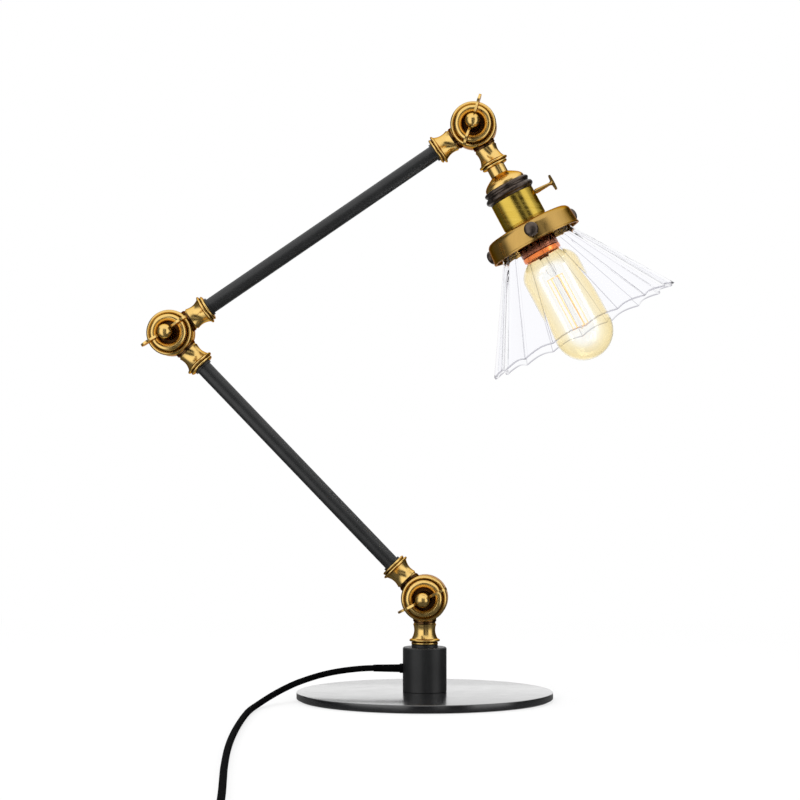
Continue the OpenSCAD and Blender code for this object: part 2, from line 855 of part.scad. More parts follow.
module socket_insulator() {
  color("#d8d2c4")
    along(joint3, head_angle)
      difference() {
        bar_x(shell_in_r - run_fit, insulator_top, thread_end - 0.5);
        bar_x(screw_shell_out_r + run_fit, cup_bottom, thread_end);
        translate([switch_s, 0, 5])
          cylinder(r = 1.4 + run_fit, h = shell_r);
      }
}

module screw_shell() {
  color("silver")
    along(joint3, head_angle)
      difference() {
        bar_x(screw_shell_out_r, cup_bottom, thread_end - 1.5);
        bar_x(screw_shell_in_r, cup_bottom + 0.5, thread_end);
        bar_x(5, cup_bottom - 1, cup_bottom + 1);
      }
}

module centre_contact() {
  color(bright_brass)
    along(joint3, head_angle)
      turned_x([[0, cup_bottom], [4, cup_bottom], [4, cup_bottom + 1], [2, contact_tip - 0.4], [1.4, contact_tip],
                [0, contact_tip]]);
}

module switch_key() {
  stem_r = 1.4;
  reach = shell_r + switch_len;
  color(brass)
    along(joint3, head_angle)
      translate([switch_s, 0, 0]) {
        rotate_extrude()
          polygon([
            [0, 6], [stem_r, 6], [stem_r, shell_r + 0.3], [1.9, shell_r + 0.4], [1.9, shell_r + 1.4],
            [stem_r - 0.2, reach - 3], [stem_r - 0.2, reach - 1.5], [2, reach], [2, reach + 1], [0, reach + 1]
          ]);
        translate([0, 0, reach + 1])
          rotate([90, 0, 0])
            linear_extrude(3.6, center = true)
              offset(r = 0.5, $fn = 16)
                polygon([
                  [-switch_key_w / 2 + 0.5, 0.4], [-switch_key_w / 2 + 0.5, -0.4], [-1.6, -0.8],
                  [1.6, -0.8], [switch_key_w / 2 - 0.5, -0.4], [switch_key_w / 2 - 0.5, 0.4],
                  [1.6, 0.6], [-1.6, 0.6]
                ]);
      }
}

module shade_holder() {
  // A shallow cup: flat top on the shell's thread, rounded shoulder, straight wall, and three screw holes
  wall = holder_wall;
  shoulder = 4.5;
  drop = 2.2;
  mouth_r = holder_r + holder_flare / 2;
  color(brass)
    along(joint3, head_angle)
      difference() {
        turned_x(concat(
          [[thread_out_r + run_fit, shell_end], [thread_out_r + 5, shell_end]],
          arc(holder_r - shoulder, shell_end + drop + shoulder - 1, shoulder, -75, 0, 6),
          [[mouth_r, holder_end - 1.4], [mouth_r + 0.4, holder_end - 1], [mouth_r + 0.4, holder_end]],
          [[mouth_r - wall, holder_end]],
          arc(holder_r - shoulder, shell_end + drop + shoulder - 1 + 0.4, shoulder - wall, 0, -75, 6),
          [[thread_out_r + 5, shell_end + wall], [thread_out_r + run_fit, shell_end + wall]]
        ));
        for (turn = [0, 120, 240])
          rotate([turn, 0, 0])
            translate([thumb_s, 0, 0])
              rotate([90, 0, 0])
                cylinder(r = thumb_screw_d / 2 + run_fit, h = holder_r + 5);
      }
}

module holder_ring() {
  // The threaded ring inside the holder that clamps it against the shell
  start = shell_end + holder_wall;
  r = thread_out_r + 4.6;
  color(bronze)
    along(joint3, head_angle)
      difference() {
        turned_x([
          [thread_out_r + run_fit, start], [r, start], [r, start + ring_nut_t - 0.6],
          [r - 0.6, start + ring_nut_t], [thread_out_r + run_fit, start + ring_nut_t]
        ]);
        for (turn = [0:45:315])
          rotate([turn, 0, 0])
            translate([start + ring_nut_t / 2, 0, r])
              cube([ring_nut_t + 1, 2.4, 2], center = true);
      }
}

module shade_screw(turn) {
  // Domed head outside the holder, shank through its wall, and the tip under the shade's lip
  mouth_r = holder_r + holder_flare / 2;
  seat = mouth_r + 0.7;
  tip = collar_r + 0.4;
  color(bronze)
    along(joint3, head_angle)
      rotate([turn, 0, 0])
        translate([thumb_s, 0, 0])
          rotate([90, 0, 0])
            rotate_extrude($fn = 48)
              polygon(concat(
                [[0, tip], [thumb_screw_d / 2, tip], [thumb_screw_d / 2, seat], [thumb_d / 2 - 2, seat]],
                [[thumb_d / 2 - 1.6, seat + 0.8], [thumb_d / 2 - 0.3, seat + 1.2], [thumb_d / 2, seat + 1.6]],
                [[thumb_d / 2, seat + thumb_h - 3]],
                [for (i = [1:6]) let (t = 90 * i / 7)
                  [thumb_d / 2 * cos(t), seat + thumb_h - 3 + 3 * sin(t)]],
                [[0, seat + thumb_h]]
              ));
}

// ---------------------------------------------------------------- shade

// Where a point lies across its flute: -1 and 1 on the ridges, 0 in the middle
function across_flute(turn) = let (w = 360 / flutes, a = (turn % w + w) % w) 2 * a / w - 1;

// One row of the shade, as [distance along the axis, radius, share of the flute's depth, share of the scallop]
function shade_rows() =
  let (
    cone_from = collar_end + 1.5,
    in_r = collar_r - glass_t,
    cone_rows = 9,
    slope = (shade_r - collar_r - 1.5) / (rim_s - cone_from),
    across = glass_t * sqrt(1 + slope * slope)
  )
  concat(
    [[lip_top, in_r, 0, 0], [lip_top, lip_d / 2 - 0.5, 0, 0], [lip_top + 0.5, lip_d / 2, 0, 0],
     [lip_bottom, lip_d / 2, 0, 0], [lip_bottom, collar_r, 0, 0], [collar_end - 1, collar_r, 0, 0]],
    [for (i = [0:cone_rows]) let (u = i / cone_rows)
      [cone_from + (rim_s - cone_from) * u, collar_r + 1.5 + (shade_r - collar_r - 1.5) * u, pow(u, 0.8), u]],
    [for (i = [cone_rows:-1:1]) let (u = i / cone_rows)
      [cone_from + (rim_s - cone_from) * u, collar_r + 1.5 + (shade_r - collar_r - 1.5) * u - across, pow(u, 0.8), u]],
    [[collar_end + 0.5, in_r, 0, 0]]
  );

module shade() {
  per_flute = 6;
  around = flutes * per_flute;
  rows = shade_rows();
  count = len(rows);
  points = [
    for (row = rows, k = [0:around - 1])
      let (
        turn = 360 * k / around,
        x = across_flute(turn),
        dip = 1 - x * x,
        r = row[1] - flute_depth * row[2] * dip,
        s = row[0] - scallop * row[3] * dip
      )
      [s, -r * cos(turn), r * sin(turn)]
  ];
  faces = [
    for (j = [0:count - 1], k = [0:around - 1])
      let (
        next_row = (j + 1) % count * around,
        next_k = (k + 1) % around,
        a = j * around + k,
        b = j * around + next_k,
        c = next_row + next_k,
        d = next_row + k
      )
      each [[a, b, c], [a, c, d]]
  ];
  color([0.85, 0.9, 0.95, 0.4])
    along(joint3, head_angle)
      polyhedron(points = points, faces = faces, convexity = 10);
}

// ---------------------------------------------------------------- bulb

// Outline of the bulb's glass at the given inset from its surface
function bulb_outline(inset) =
  let (
    neck_r = cap_d / 2 - 0.6,
    shoulder_s = cap_end + 14,
    end_s = bulb_end - bulb_r
  )
  concat(
    [[neck_r - inset, cap_end - 6], [neck_r - inset, cap_end]],
    [for (i = [1:8]) let (u = i / 8)
      [neck_r + (bulb_r - neck_r) * (1 - pow(1 - u, 2.2)) - inset, cap_end + (shoulder_s - cap_end) * u]],
    [for (i = [0:11]) let (t = 90 * i / 12) [(bulb_r - inset) * cos(t), end_s + (bulb_r - inset) * sin(t)]]
  );

module bulb_glass() {
  inner = bulb_outline(bulb_wall);
  color([0.95, 0.8, 0.5, 0.5])
    along(joint3, head_angle)
      turned_x(concat(
        bulb_outline(0),
        [[0, bulb_end], [0, bulb_end - bulb_wall]],
        [for (i = [len(inner) - 1:-1:0]) inner[i]]
      ));
}

module bulb_cap() {
  // Contact, insulating cone, threaded sleeve and the collar that grips the glass; hollow above the cone
  r = cap_d / 2;
  wall = 0.55;
  s = bulb_start;
  color("#b5622c")
    along(joint3, head_angle)
      turned_x([
        [0, s], [3.5, s], [4.5, s + 1], [9, s + 3], [r - 1, s + 4], [r, s + 5], [r, cap_end - 8],
        [r + 1.6, cap_end - 7], [r + 1.6, cap_end], [r - wall, cap_end], [r - wall, s + 6], [0, s + 6]
      ]);
}

module bulb_mount() {
  // Glass stem: its flare meets the bulb's neck, and its press holds the lead wires
  s = cap_end - 6;
  flare_r = cap_d / 2 - 0.6 - bulb_wall - run_fit;
  color([0.9, 0.95, 1, 0.5])
    along(joint3, head_angle)
      turned_x([
        [0, s], [flare_r, s], [flare_r, s + 1], [7.5, s + 2.5], [4.5, s + 6], [3.4, s + 9], [3.4, s + 20],
        [1.6, s + 23], [1.2, s + 65], [1.8, s + 66.5], [0, s + 68]
      ]);
}

module bulb_filament() {
  // Straight strands between two flat spiders that sit on the mount
  low = cap_end + 18;
  high = cap_end + 60;
  cage_r = 6;
  spider_t = 0.5;
  arm_w = 0.7;
  mount_r = 1.7;
  color("#d9822b")
    along(joint3, head_angle) {
      for (s = [low, high - spider_t])
        translate([s, 0, 0])
          rotate([0, 90, 0])
            linear_extrude(spider_t)
              difference() {
                for (i = [0:strands - 1])
                  rotate(360 * i / strands)
                    translate([0, -arm_w / 2])
                      square([cage_r + arm_w / 2, arm_w]);
                circle(r = mount_r);
              }
      for (i = [0:strands - 1])
        let (a = 360 * i / strands)
          translate([0, cage_r * sin(a), -cage_r * cos(a)])
            bar_x(0.3, low + spider_t / 2, high - spider_t / 2);
    }
}

// ---------------------------------------------------------------- what is drawn

base_pad();
base_plate();
base_nut();
column();
column_rod();
column_washer();
strain_relief();
base_lead();
cord_run();
cord_coil();
cord_tie();
plug_body();
plug_blades();
knuckle1_front();
friction_washer(joint1);  // knuckle1_washer
knuckle1_rear();
cap_nut(joint1);  // knuckle1_nut
wing_screw(joint1, wing_turn[0]);  // wing_screw1
arm_washers(joint1, lower_angle);  // lower_end_washers
arm_nipples(joint1, lower_angle);  // lower_nipples
arm_tube(joint1, lower_angle);  // lower_tube
arm_lead(joint1, lower_angle);  // lower_lead
knuckle2_front();
friction_washer(joint2);  // knuckle2_washer
knuckle2_rear();
cap_nut(joint2);  // knuckle2_nut
wing_screw(joint2, wing_turn[1]);  // wing_screw2
arm_washers(joint2, upper_angle);  // upper_end_washers
arm_nipples(joint2, upper_angle);  // upper_nipples
arm_tube(joint2, upper_angle);  // upper_tube
arm_lead(joint2, upper_angle);  // upper_lead
knuckle3_front();
friction_washer(joint3);  // knuckle3_washer
knuckle3_rear();
cap_nut(joint3);  // knuckle3_nut
wing_screw(joint3, wing_turn[2]);  // wing_screw3
head_nipple();
head_lead();
socket_cap();
socket_ring();
socket_shell();
socket_insulator();
screw_shell();
centre_contact();
switch_key();
shade_holder();
holder_ring();
shade_screw(0);  // shade_screw1
shade_screw(120);  // shade_screw2
shade_screw(240);  // shade_screw3
shade();
bulb_cap();
bulb_glass();
bulb_mount();
bulb_filament();
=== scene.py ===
"""Looks of the accordion desk lamp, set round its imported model. Metres, Z up, origin under the middle of the base."""

import json
import math

import bmesh
import bpy
import numpy as np
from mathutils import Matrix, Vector


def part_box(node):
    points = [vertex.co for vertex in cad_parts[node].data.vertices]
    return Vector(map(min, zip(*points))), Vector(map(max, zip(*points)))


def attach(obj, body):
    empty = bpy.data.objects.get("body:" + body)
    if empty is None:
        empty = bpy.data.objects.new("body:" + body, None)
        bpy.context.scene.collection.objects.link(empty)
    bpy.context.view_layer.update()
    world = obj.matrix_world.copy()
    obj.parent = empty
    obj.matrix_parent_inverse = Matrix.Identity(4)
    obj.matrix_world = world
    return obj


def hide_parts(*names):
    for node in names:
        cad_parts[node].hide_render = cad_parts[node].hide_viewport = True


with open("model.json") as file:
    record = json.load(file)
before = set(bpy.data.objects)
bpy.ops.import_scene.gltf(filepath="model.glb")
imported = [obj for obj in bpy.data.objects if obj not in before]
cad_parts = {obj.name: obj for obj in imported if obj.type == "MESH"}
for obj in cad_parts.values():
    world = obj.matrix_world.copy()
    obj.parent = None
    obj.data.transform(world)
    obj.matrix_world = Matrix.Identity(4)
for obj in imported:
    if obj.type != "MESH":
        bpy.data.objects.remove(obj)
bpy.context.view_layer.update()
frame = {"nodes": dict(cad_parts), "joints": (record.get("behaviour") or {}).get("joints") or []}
nodes = frame["nodes"]
joint_at = {joint["name"]: np.array(joint["pos_m"]) for joint in frame["joints"]}
joint_axis = {joint["name"]: np.array(joint["axis"]) for joint in frame["joints"]}

# ---------------------------------------------------------------- camera
# It stands 1.7 m in front of the lamp, about level with the lower arm, a little to the right of the column,
# and looks slightly up and to the left through a long lens.
CAMERA_PLACE = (0.0938, -1.6914, 0.1845)
CAMERA_PITCH = 1.306
CAMERA_YAW = 3.797
CAMERA_LENS = 102.0
CAMERA_SENSOR = 36.0

camera_data = bpy.data.cameras.new("camera")
camera_data.sensor_width = CAMERA_SENSOR
camera_data.lens = CAMERA_LENS
camera = bpy.data.objects.new("camera", camera_data)
camera.location = CAMERA_PLACE
camera.rotation_euler = (math.radians(90 + CAMERA_PITCH), 0, math.radians(CAMERA_YAW))
bpy.context.scene.collection.objects.link(camera)
bpy.context.scene.camera = camera

# ---------------------------------------------------------------- power cord
# Black round PVC flex. It leaves the column's strain relief, drops over the plate's edge, runs forward on the table,
# and its spare length lies in a flat two-layer coil in front, held by a strap, with the plug beside it.
CORD_DIAMETER = 0.0045
CORD_SIDES = 16
ROUTE = np.array([
    [-38.35, 0, 23], [-44, -0.2, 22.8], [-52, -1, 22.2], [-61, -2.6, 21.2], [-70, -5.2, 19.8],
    [-78.5, -9, 18], [-86.5, -14, 15.8], [-94, -20, 13.4], [-100.5, -27.5, 10.8], [-106, -36, 8.3],
    [-110.5, -45.5, 6], [-113.8, -55.5, 4.2], [-116, -66, 3], [-117.3, -77, 2.4], [-117.9, -88, 2.25],
    [-117.9, -111, 2.25], [-117, -135, 2.25], [-115.8, -159, 2.25], [-114.4, -183, 2.25], [-112.8, -207, 2.25],
    [-111, -231, 2.25], [-109, -255, 2.25], [-106.8, -279, 2.25], [-104.4, -303, 2.25], [-101.8, -327, 2.25],
    [-99, -351, 2.25], [-96.1, -375, 2.25], [-93.1, -399, 2.25], [-89.9, -423, 2.25], [-86.7, -447, 2.25],
    [-83.5, -471, 2.25], [-80.4, -495, 2.25], [-77.5, -519, 2.25], [-75, -543, 2.25], [-73.8, -555, 2.35],
    [-72.7, -567, 2.55], [-71.7, -579, 2.85], [-70.9, -591, 3.05], [-70.3, -603, 3.2], [-70, -614, 3.25],
]) / 1000
COIL_PITCH = 0.005
COIL_INNER_R = 0.018
LOWER_TURNS = 3.5
UPPER_TURNS = 3
STEPS_PER_TURN = 24
TAIL_LENGTH = 0.017
PATH_STEPS = 4
MERGE_DISTANCE = 2e-6


def coil_points():
    """The radius shrinks one pitch a turn in the lower layer, then grows one pitch a turn in the upper layer; the
    height rises by one pitch, as half a cosine, in the half turn where the radius turns round."""
    climb = LOWER_TURNS * 2 * math.pi
    a = np.arange(0, climb + math.pi + UPPER_TURNS * 2 * math.pi + 1e-6, 2 * math.pi / STEPS_PER_TURN)
    outer = COIL_INNER_R + COIL_PITCH * LOWER_TURNS
    turn = COIL_PITCH / (2 * math.pi)
    least = outer - turn * (climb + math.pi / 2)
    r = np.where(a <= climb + math.pi / 2, outer - turn * a, least + turn * (a - climb - math.pi / 2))
    z = COIL_PITCH * (1 - np.cos(np.clip(a - climb, 0, math.pi))) / 2
    centre = ROUTE[-1] + [outer, -CORD_DIAMETER, 0]
    return centre, centre + np.stack([-r * np.cos(a), -r * np.sin(a), z], 1)


def smooth_path(points, steps):
    """A cubic through every point, whose slope there is half the step between its two neighbours (Catmull-Rom)."""
    p = np.vstack([2 * points[0] - points[1], points, 2 * points[-1] - points[-2]])
    a, b, c, d = (p[i:len(p) - 3 + i, None] for i in range(4))
    t = np.linspace(0, 1, steps, endpoint=False)[:, None]
    spans = (2 * b + (c - a) * t + (2 * a - 5 * b + 4 * c - d) * t**2 + (3 * b - a - 3 * c + d) * t**3) / 2
    return np.vstack([spans.reshape(-1, 3), points[-1:]])


def grid_mesh(name, grid, loop_rows=False, sharp=math.radians(35)):
    """Quads between the rows of a grid of points. Columns always close round; rows close too where loop_rows is set.
    Points that fall together at a pole or a seam become one, and every face points outwards."""
    rows, columns = grid.shape[:2]
    index = np.arange(rows * columns).reshape(rows, columns)
    if loop_rows:
        index = np.vstack([index, index[:1]])
    index = np.hstack([index, index[:, :1]])
    faces = np.stack([index[:-1, :-1], index[1:, :-1], index[1:, 1:], index[:-1, 1:]], -1).reshape(-1, 4)
    mesh = bpy.data.meshes.new(name)
    mesh.from_pydata(grid.reshape(-1, 3).tolist(), [], faces.tolist())
    shape = bmesh.new()
    shape.from_mesh(mesh)
    bmesh.ops.remove_doubles(shape, verts=shape.verts, dist=MERGE_DISTANCE)
    bmesh.ops.recalc_face_normals(shape, faces=shape.faces)
    shape.to_mesh(mesh)
    shape.free()
    mesh.shade_smooth()
    mesh.set_sharp_from_angle(angle=sharp)
    return mesh


def swept(name, path, radius, sides):
    """A circle carried along a path: centre + radius (cos a across + sin a up), where across is level and square to
    the path. Each end closes in a point."""
    heading = np.gradient(path, axis=0)
    heading /= np.linalg.norm(heading, axis=1, keepdims=True)
    across = np.cross(heading, [0, 0, 1.0])
    across /= np.linalg.norm(across, axis=1, keepdims=True)
    up = np.cross(across, heading)
    a = np.arange(sides) * 2 * math.pi / sides
    round_it = across[:, None] * np.cos(a)[:, None] + up[:, None] * np.sin(a)[:, None]
    grid = path[:, None] + radius * round_it
    ends = [np.repeat(path[i][None, None], sides, 1) for i in (0, -1)]
    return grid_mesh(name, np.vstack([ends[0], grid, ends[1]]))


def surface(name, colour, metallic=0.0, roughness=0.5, **sockets):
    """A material with one Principled surface; other sockets are named with _ for a space."""
    made = bpy.data.materials.new(name)
    made.use_nodes = True
    shader = made.node_tree.nodes["Principled BSDF"]
    shader.inputs["Base Color"].default_value = (*colour, 1)
    shader.inputs["Metallic"].default_value = metallic
    shader.inputs["Roughness"].default_value = roughness
    for socket, value in sockets.items():
        shader.inputs[socket.replace("_", " ")].default_value = value
    return made


def grain(made, scale, stretch=(1, 1, 1), kind="ShaderNodeTexNoise", turn=(0, 0, 0), **settings):
    """The 0 to 1 output of a noise, or of another texture, in the piece's own metres times scale and stretch."""
    tree = made.node_tree
    place = tree.nodes.new("ShaderNodeTexCoord")
    mapping = tree.nodes.new("ShaderNodeMapping")
    mapping.inputs["Scale"].default_value = stretch
    mapping.inputs["Rotation"].default_value = turn
    texture = tree.nodes.new(kind)
    texture.inputs["Scale"].default_value = scale
    for socket, value in settings.items():
        texture.inputs[socket.replace("_", " ")].default_value = value
    tree.links.new(place.outputs["Object"], mapping.inputs["Vector"])
    tree.links.new(mapping.outputs["Vector"], texture.inputs["Vector"])
    return texture.outputs[0]


def spread_over(made, factor, socket, low, high, start=0.3, end=0.7):
    """Drives a socket of the surface from low to high as the factor goes from start to end."""
    tree = made.node_tree
    ramp = tree.nodes.new("ShaderNodeValToRGB")
    ramp.color_ramp.elements[0].position = start
    ramp.color_ramp.elements[1].position = end
    for element, value in zip(ramp.color_ramp.elements, (low, high)):
        element.color = (*value, 1) if hasattr(value, "__len__") else (value, value, value, 1)
    tree.links.new(factor, ramp.inputs["Fac"])
    tree.links.new(ramp.outputs["Color"], tree.nodes["Principled BSDF"].inputs[socket])
    return ramp.outputs["Color"]


def relief(made, factor, height, strength=1.0):
    """Bumps of the given height in metres, laid over any bumps that the surface has already."""
    tree = made.node_tree
    bump = tree.nodes.new("ShaderNodeBump")
    bump.inputs["Distance"].default_value = height
    bump.inputs["Strength"].default_value = strength
    normal = tree.nodes["Principled BSDF"].inputs["Normal"]
    if normal.links:
        tree.links.new(normal.links[0].from_socket, bump.inputs["Normal"])
    tree.links.new(factor, bump.inputs["Height"])
    tree.links.new(bump.outputs["Normal"], normal)


def seat(name, mesh, made, body, slot, *replaced):
    """Puts a finished mesh on a body, with its material, in place of the named nodes; the slot argument is not used."""
    piece = bpy.data.objects.new(name, mesh)
    bpy.context.scene.collection.objects.link(piece)
    mesh.materials.clear()
    mesh.materials.append(made)
    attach(piece, body)
    if replaced:
        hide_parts(*replaced)
    return piece


coil_centre, coil = coil_points()
plug_start = coil_centre + [-(COIL_INNER_R + COIL_PITCH * UPPER_TURNS), -TAIL_LENGTH, COIL_PITCH]
tail = [plug_start + [0, 1.5 * CORD_DIAMETER, 0], plug_start]
cord_path = smooth_path(np.vstack([ROUTE, coil, tail]), PATH_STEPS)

cord_pvc = surface("black_cord", (0.005, 0.005, 0.0055), roughness=0.5, IOR=1.1, Specular_IOR_Level=0.01)
cord_grain = grain(cord_pvc, 900, Detail=4.0)
cord_cloud = grain(cord_pvc, 120, Detail=3.0)
spread_over(cord_pvc, cord_grain, "Roughness", 0.46, 0.64)
spread_over(cord_pvc, cord_cloud, "Base Color", (0.002, 0.002, 0.0022), (0.004, 0.004, 0.0043))
relief(cord_pvc, cord_grain, 0.00004)
cord = seat("power_cord", swept("power_cord", cord_path, CORD_DIAMETER / 2, CORD_SIDES), cord_pvc, "base",
            "black_cord", "cord_run", "cord_coil")

# The moulded plug: a ribbed boot, a waist for the fingers and a flat face with two blades.
PLUG_BOOT = 0.014
PLUG_LENGTH = 0.032
PLUG_WIDTH = 0.0236
PLUG_THICKNESS = 0.0155
PLUG_SIDES = 64
BOOT_WALL = 0.0006
BOOT_FLARE = 0.0014
BOOT_BARE = 0.001
RIB_HEIGHT = 0.00035
RIB_PITCH = 0.0028
SHOULDER_SHARE = 0.42
WAIST_DEPTH = 0.09
WAIST_PLACE = 0.021
WAIST_LENGTH = 0.006
FACE_ROUND = 0.0012
FACE_INSET = 0.0008


def plug_mesh():
    """Rounded rectangles along the plug: half width and half thickness are smooth steps from the boot's radius to the
    body's, the width drawn in by a bell curve at the waist; |x/w|^n + |z/t|^n = 1 with n growing from 2 to 4."""
    whole = PLUG_BOOT + PLUG_LENGTH
    s = np.concatenate([np.linspace(0, PLUG_BOOT, 43), np.linspace(PLUG_BOOT, whole, 60)[1:]])
    body = np.clip((s - PLUG_BOOT * 0.9) / (PLUG_LENGTH * SHOULDER_SHARE), 0, 1)
    body = body * body * (3 - 2 * body)
    ribbed = (np.cos(s / RIB_PITCH * 2 * math.pi) > 0) * (s < PLUG_BOOT) * (s > BOOT_BARE)
    rib = RIB_HEIGHT * ribbed
    boot = CORD_DIAMETER / 2 + BOOT_WALL + BOOT_FLARE * s / PLUG_BOOT
    waist = 1 - WAIST_DEPTH * np.exp(-((s - PLUG_BOOT - WAIST_PLACE) / WAIST_LENGTH) ** 2)
    end = np.sqrt(np.clip((whole - s) / FACE_ROUND, 0, 1)) * FACE_INSET - FACE_INSET
    width = (boot + rib) * (1 - body) + PLUG_WIDTH / 2 * waist * body + end
    thick = (boot + rib) * (1 - body) + PLUG_THICKNESS / 2 * body + end
    power = 2 / (2 + 2 * body)
    a = np.arange(PLUG_SIDES) * 2 * math.pi / PLUG_SIDES
    x = np.sign(np.cos(a)) * np.abs(np.cos(a)) ** power[:, None] * width[:, None]
    z = np.sign(np.sin(a)) * np.abs(np.sin(a)) ** power[:, None] * thick[:, None]
    grid = plug_start + np.stack([x, np.repeat(-s[:, None], PLUG_SIDES, 1), z], -1)
    ends = [np.repeat(grid[i].mean(0)[None, None], PLUG_SIDES, 1) for i in (0, -1)]
    return grid_mesh("plug", np.vstack([ends[0], grid, ends[1]]))


plug_pvc = surface("black_plug", (0.008, 0.008, 0.0085), roughness=0.5)
plug_grain = grain(plug_pvc, 1400, Detail=3.0)
spread_over(plug_pvc, plug_grain, "Roughness", 0.4, 0.6)
relief(plug_pvc, plug_grain, 0.00006)
plug = seat("moulded_plug", plug_mesh(), plug_pvc, "base", "black_plug", "plug_body")

blade_brass = surface("blade_brass", (0.72, 0.6, 0.36), metallic=1.0, roughness=0.28)
blade_grain = grain(blade_brass, 500, stretch=(1, 0.08, 1), Detail=5.0)
spread_over(blade_brass, blade_grain, "Roughness", 0.2, 0.42)
spread_over(blade_brass, blade_grain, "Base Color", (0.62, 0.5, 0.28), (0.8, 0.7, 0.46))

# The hook-and-loop strap that holds the coil: one flat band round the bundle of turns.
STRAP_WIDTH = 0.008
STRAP_THICKNESS = 0.0007
STRAP_CLEARANCE = 0.0002
STRAP_STEPS = 160
STRAP_SIDES = 20


def strap_mesh():
    """A flat band's rounded outline carried round a rounded rectangle that clears the turns. The innermost turn
    bends in over the band's width, so its nearest point is at sqrt(r^2 - (width / 2)^2)."""
    inmost = (COIL_INNER_R + COIL_PITCH * 0.25) * math.cos(math.pi / STEPS_PER_TURN)
    low = math.sqrt(inmost**2 - (STRAP_WIDTH / 2) ** 2) - CORD_DIAMETER / 2 - STRAP_CLEARANCE
    high = COIL_INNER_R + COIL_PITCH * (LOWER_TURNS - 0.25) + CORD_DIAMETER / 2 + STRAP_CLEARANCE
    half_r, half_z = (high - low) / 2, (CORD_DIAMETER + COIL_PITCH + 2 * STRAP_CLEARANCE) / 2
    a = np.linspace(0, 2 * math.pi, STRAP_STEPS, endpoint=False)
    path = np.stack([half_r * np.sign(np.cos(a)) * np.abs(np.cos(a)) ** 0.22,
                     half_z * np.sign(np.sin(a)) * np.abs(np.sin(a)) ** 0.22], 1)
    out = np.gradient(np.vstack([path[-1:], path, path[:1]]), axis=0)[1:-1]
    out = np.stack([out[:, 1], -out[:, 0]], 1) / np.linalg.norm(out, axis=1, keepdims=True)
    b = np.linspace(0, 2 * math.pi, STRAP_SIDES, endpoint=False)
    across = STRAP_WIDTH / 2 * np.sign(np.cos(b)) * np.abs(np.cos(b)) ** 0.3
    proud = STRAP_THICKNESS / 2 * (1 + np.sign(np.sin(b)) * np.abs(np.sin(b)) ** 0.5)
    flat = path[:, None] + out[:, None] * proud[None, :, None]
    grid = np.stack([np.repeat(across[None], STRAP_STEPS, 0), -flat[..., 0], flat[..., 1]], -1)
    middle = coil_centre + [0, -(low + high) / 2, half_z - CORD_DIAMETER / 2 - STRAP_CLEARANCE]
    return grid_mesh("strap", middle + grid, loop_rows=True)


strap_cloth = surface("tie_strap", (0.03, 0.03, 0.033), roughness=0.9, Sheen_Weight=0.4)
strap_weave = grain(strap_cloth, 2600, Detail=2.0)
spread_over(strap_cloth, strap_weave, "Base Color", (0.018, 0.018, 0.02), (0.05, 0.05, 0.055))
relief(strap_cloth, strap_weave, 0.0002)
strap = seat("coil_strap", strap_mesh(), strap_cloth, "base", "tie_strap", "cord_tie")

# ---------------------------------------------------------------- finishes of the kept pieces
# Pieces whose model already has the right form keep it. Their triangles are welded and shaded smooth, with real
# edges left sharp, and each gets the finish of its metal, enamel or rubber.
WELD_DISTANCE = 1e-6


def dress(names, made, edge=28):
    """Gives kept nodes a material and smooth shading, with edges sharper than the given degrees left sharp."""
    for name in names:
        node = nodes[name]
        node.data.materials.clear()
        node.data.materials.append(made)
        node.data.shade_smooth()
        weld = node.modifiers.new("weld", "WELD")
        weld.merge_threshold = WELD_DISTANCE
        split = node.modifiers.new("edges", "EDGE_SPLIT")
        split.split_angle = math.radians(edge)


dress(["plug_blades"], blade_brass)
dress(["strain_relief", "base_lead", "lower_lead", "upper_lead", "head_lead"], cord_pvc)

# ---------------------------------------------------------------- base
# A turned steel disc in black enamel that mirrors softly, heavy enough to carry the reach of the arms. Under it are
# a felt pad and the thin nut that clamps the hollow rod of the column.
enamel = surface("black_gloss_enamel", (0.006, 0.006, 0.007), roughness=0.2, Coat_Weight=1.0, Coat_Roughness=0.17,
                 Coat_IOR=1.6, IOR=1.6)
enamel_cloud = grain(enamel, 60, Detail=3.0)
spread_over(enamel, enamel_cloud, "Roughness", 0.16, 0.24)
relief(enamel, grain(enamel, 160, Detail=1.0), 0.000004)
dress(["base_plate"], enamel)

felt = surface("felt", (0.02, 0.02, 0.023), roughness=0.95, Sheen_Weight=0.5)
felt_fibre = grain(felt, 1800, Detail=6.0)
spread_over(felt, felt_fibre, "Base Color", (0.012, 0.012, 0.014), (0.04, 0.04, 0.044))
relief(felt, felt_fibre, 0.0003)
PAD_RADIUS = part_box("base_pad")[1][0]
PAD_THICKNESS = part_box("base_pad")[1][2]
PAD_BEVEL = 0.0004
PAD_TOP_BEVEL = 0.0002
PAD_SIDES = 180


def turned(name, outline, centre, axis, sides=128, loop=False, sharp=math.radians(35)):
    """A piece turned about an axis through centre: each outline point is a radius and a distance along the axis."""
    along = np.array(axis, float) / np.linalg.norm(axis)
    across = np.cross(along, [0, 1.0, 0] if abs(along[1]) < 0.9 else [1.0, 0, 0])
    across /= np.linalg.norm(across)
    up = np.cross(along, across)
    a = np.arange(sides) * 2 * math.pi / sides
    r, s = np.array(outline, float).T
    ring = np.cos(a)[:, None] * across + np.sin(a)[:, None] * up
    return grid_mesh(name, centre + s[:, None, None] * along + r[:, None, None] * ring, loop, sharp)


pad_outline = [[0, 0], [PAD_RADIUS - PAD_BEVEL, 0], [PAD_RADIUS, PAD_BEVEL],
               [PAD_RADIUS, PAD_THICKNESS - PAD_TOP_BEVEL], [PAD_RADIUS - PAD_TOP_BEVEL, PAD_THICKNESS],
               [0, PAD_THICKNESS]]
pad_mesh = turned("felt_pad", pad_outline, np.zeros(3), (0, 0, 1), PAD_SIDES)
seat("felt_pad", pad_mesh, felt, "base", "felt", "base_pad")

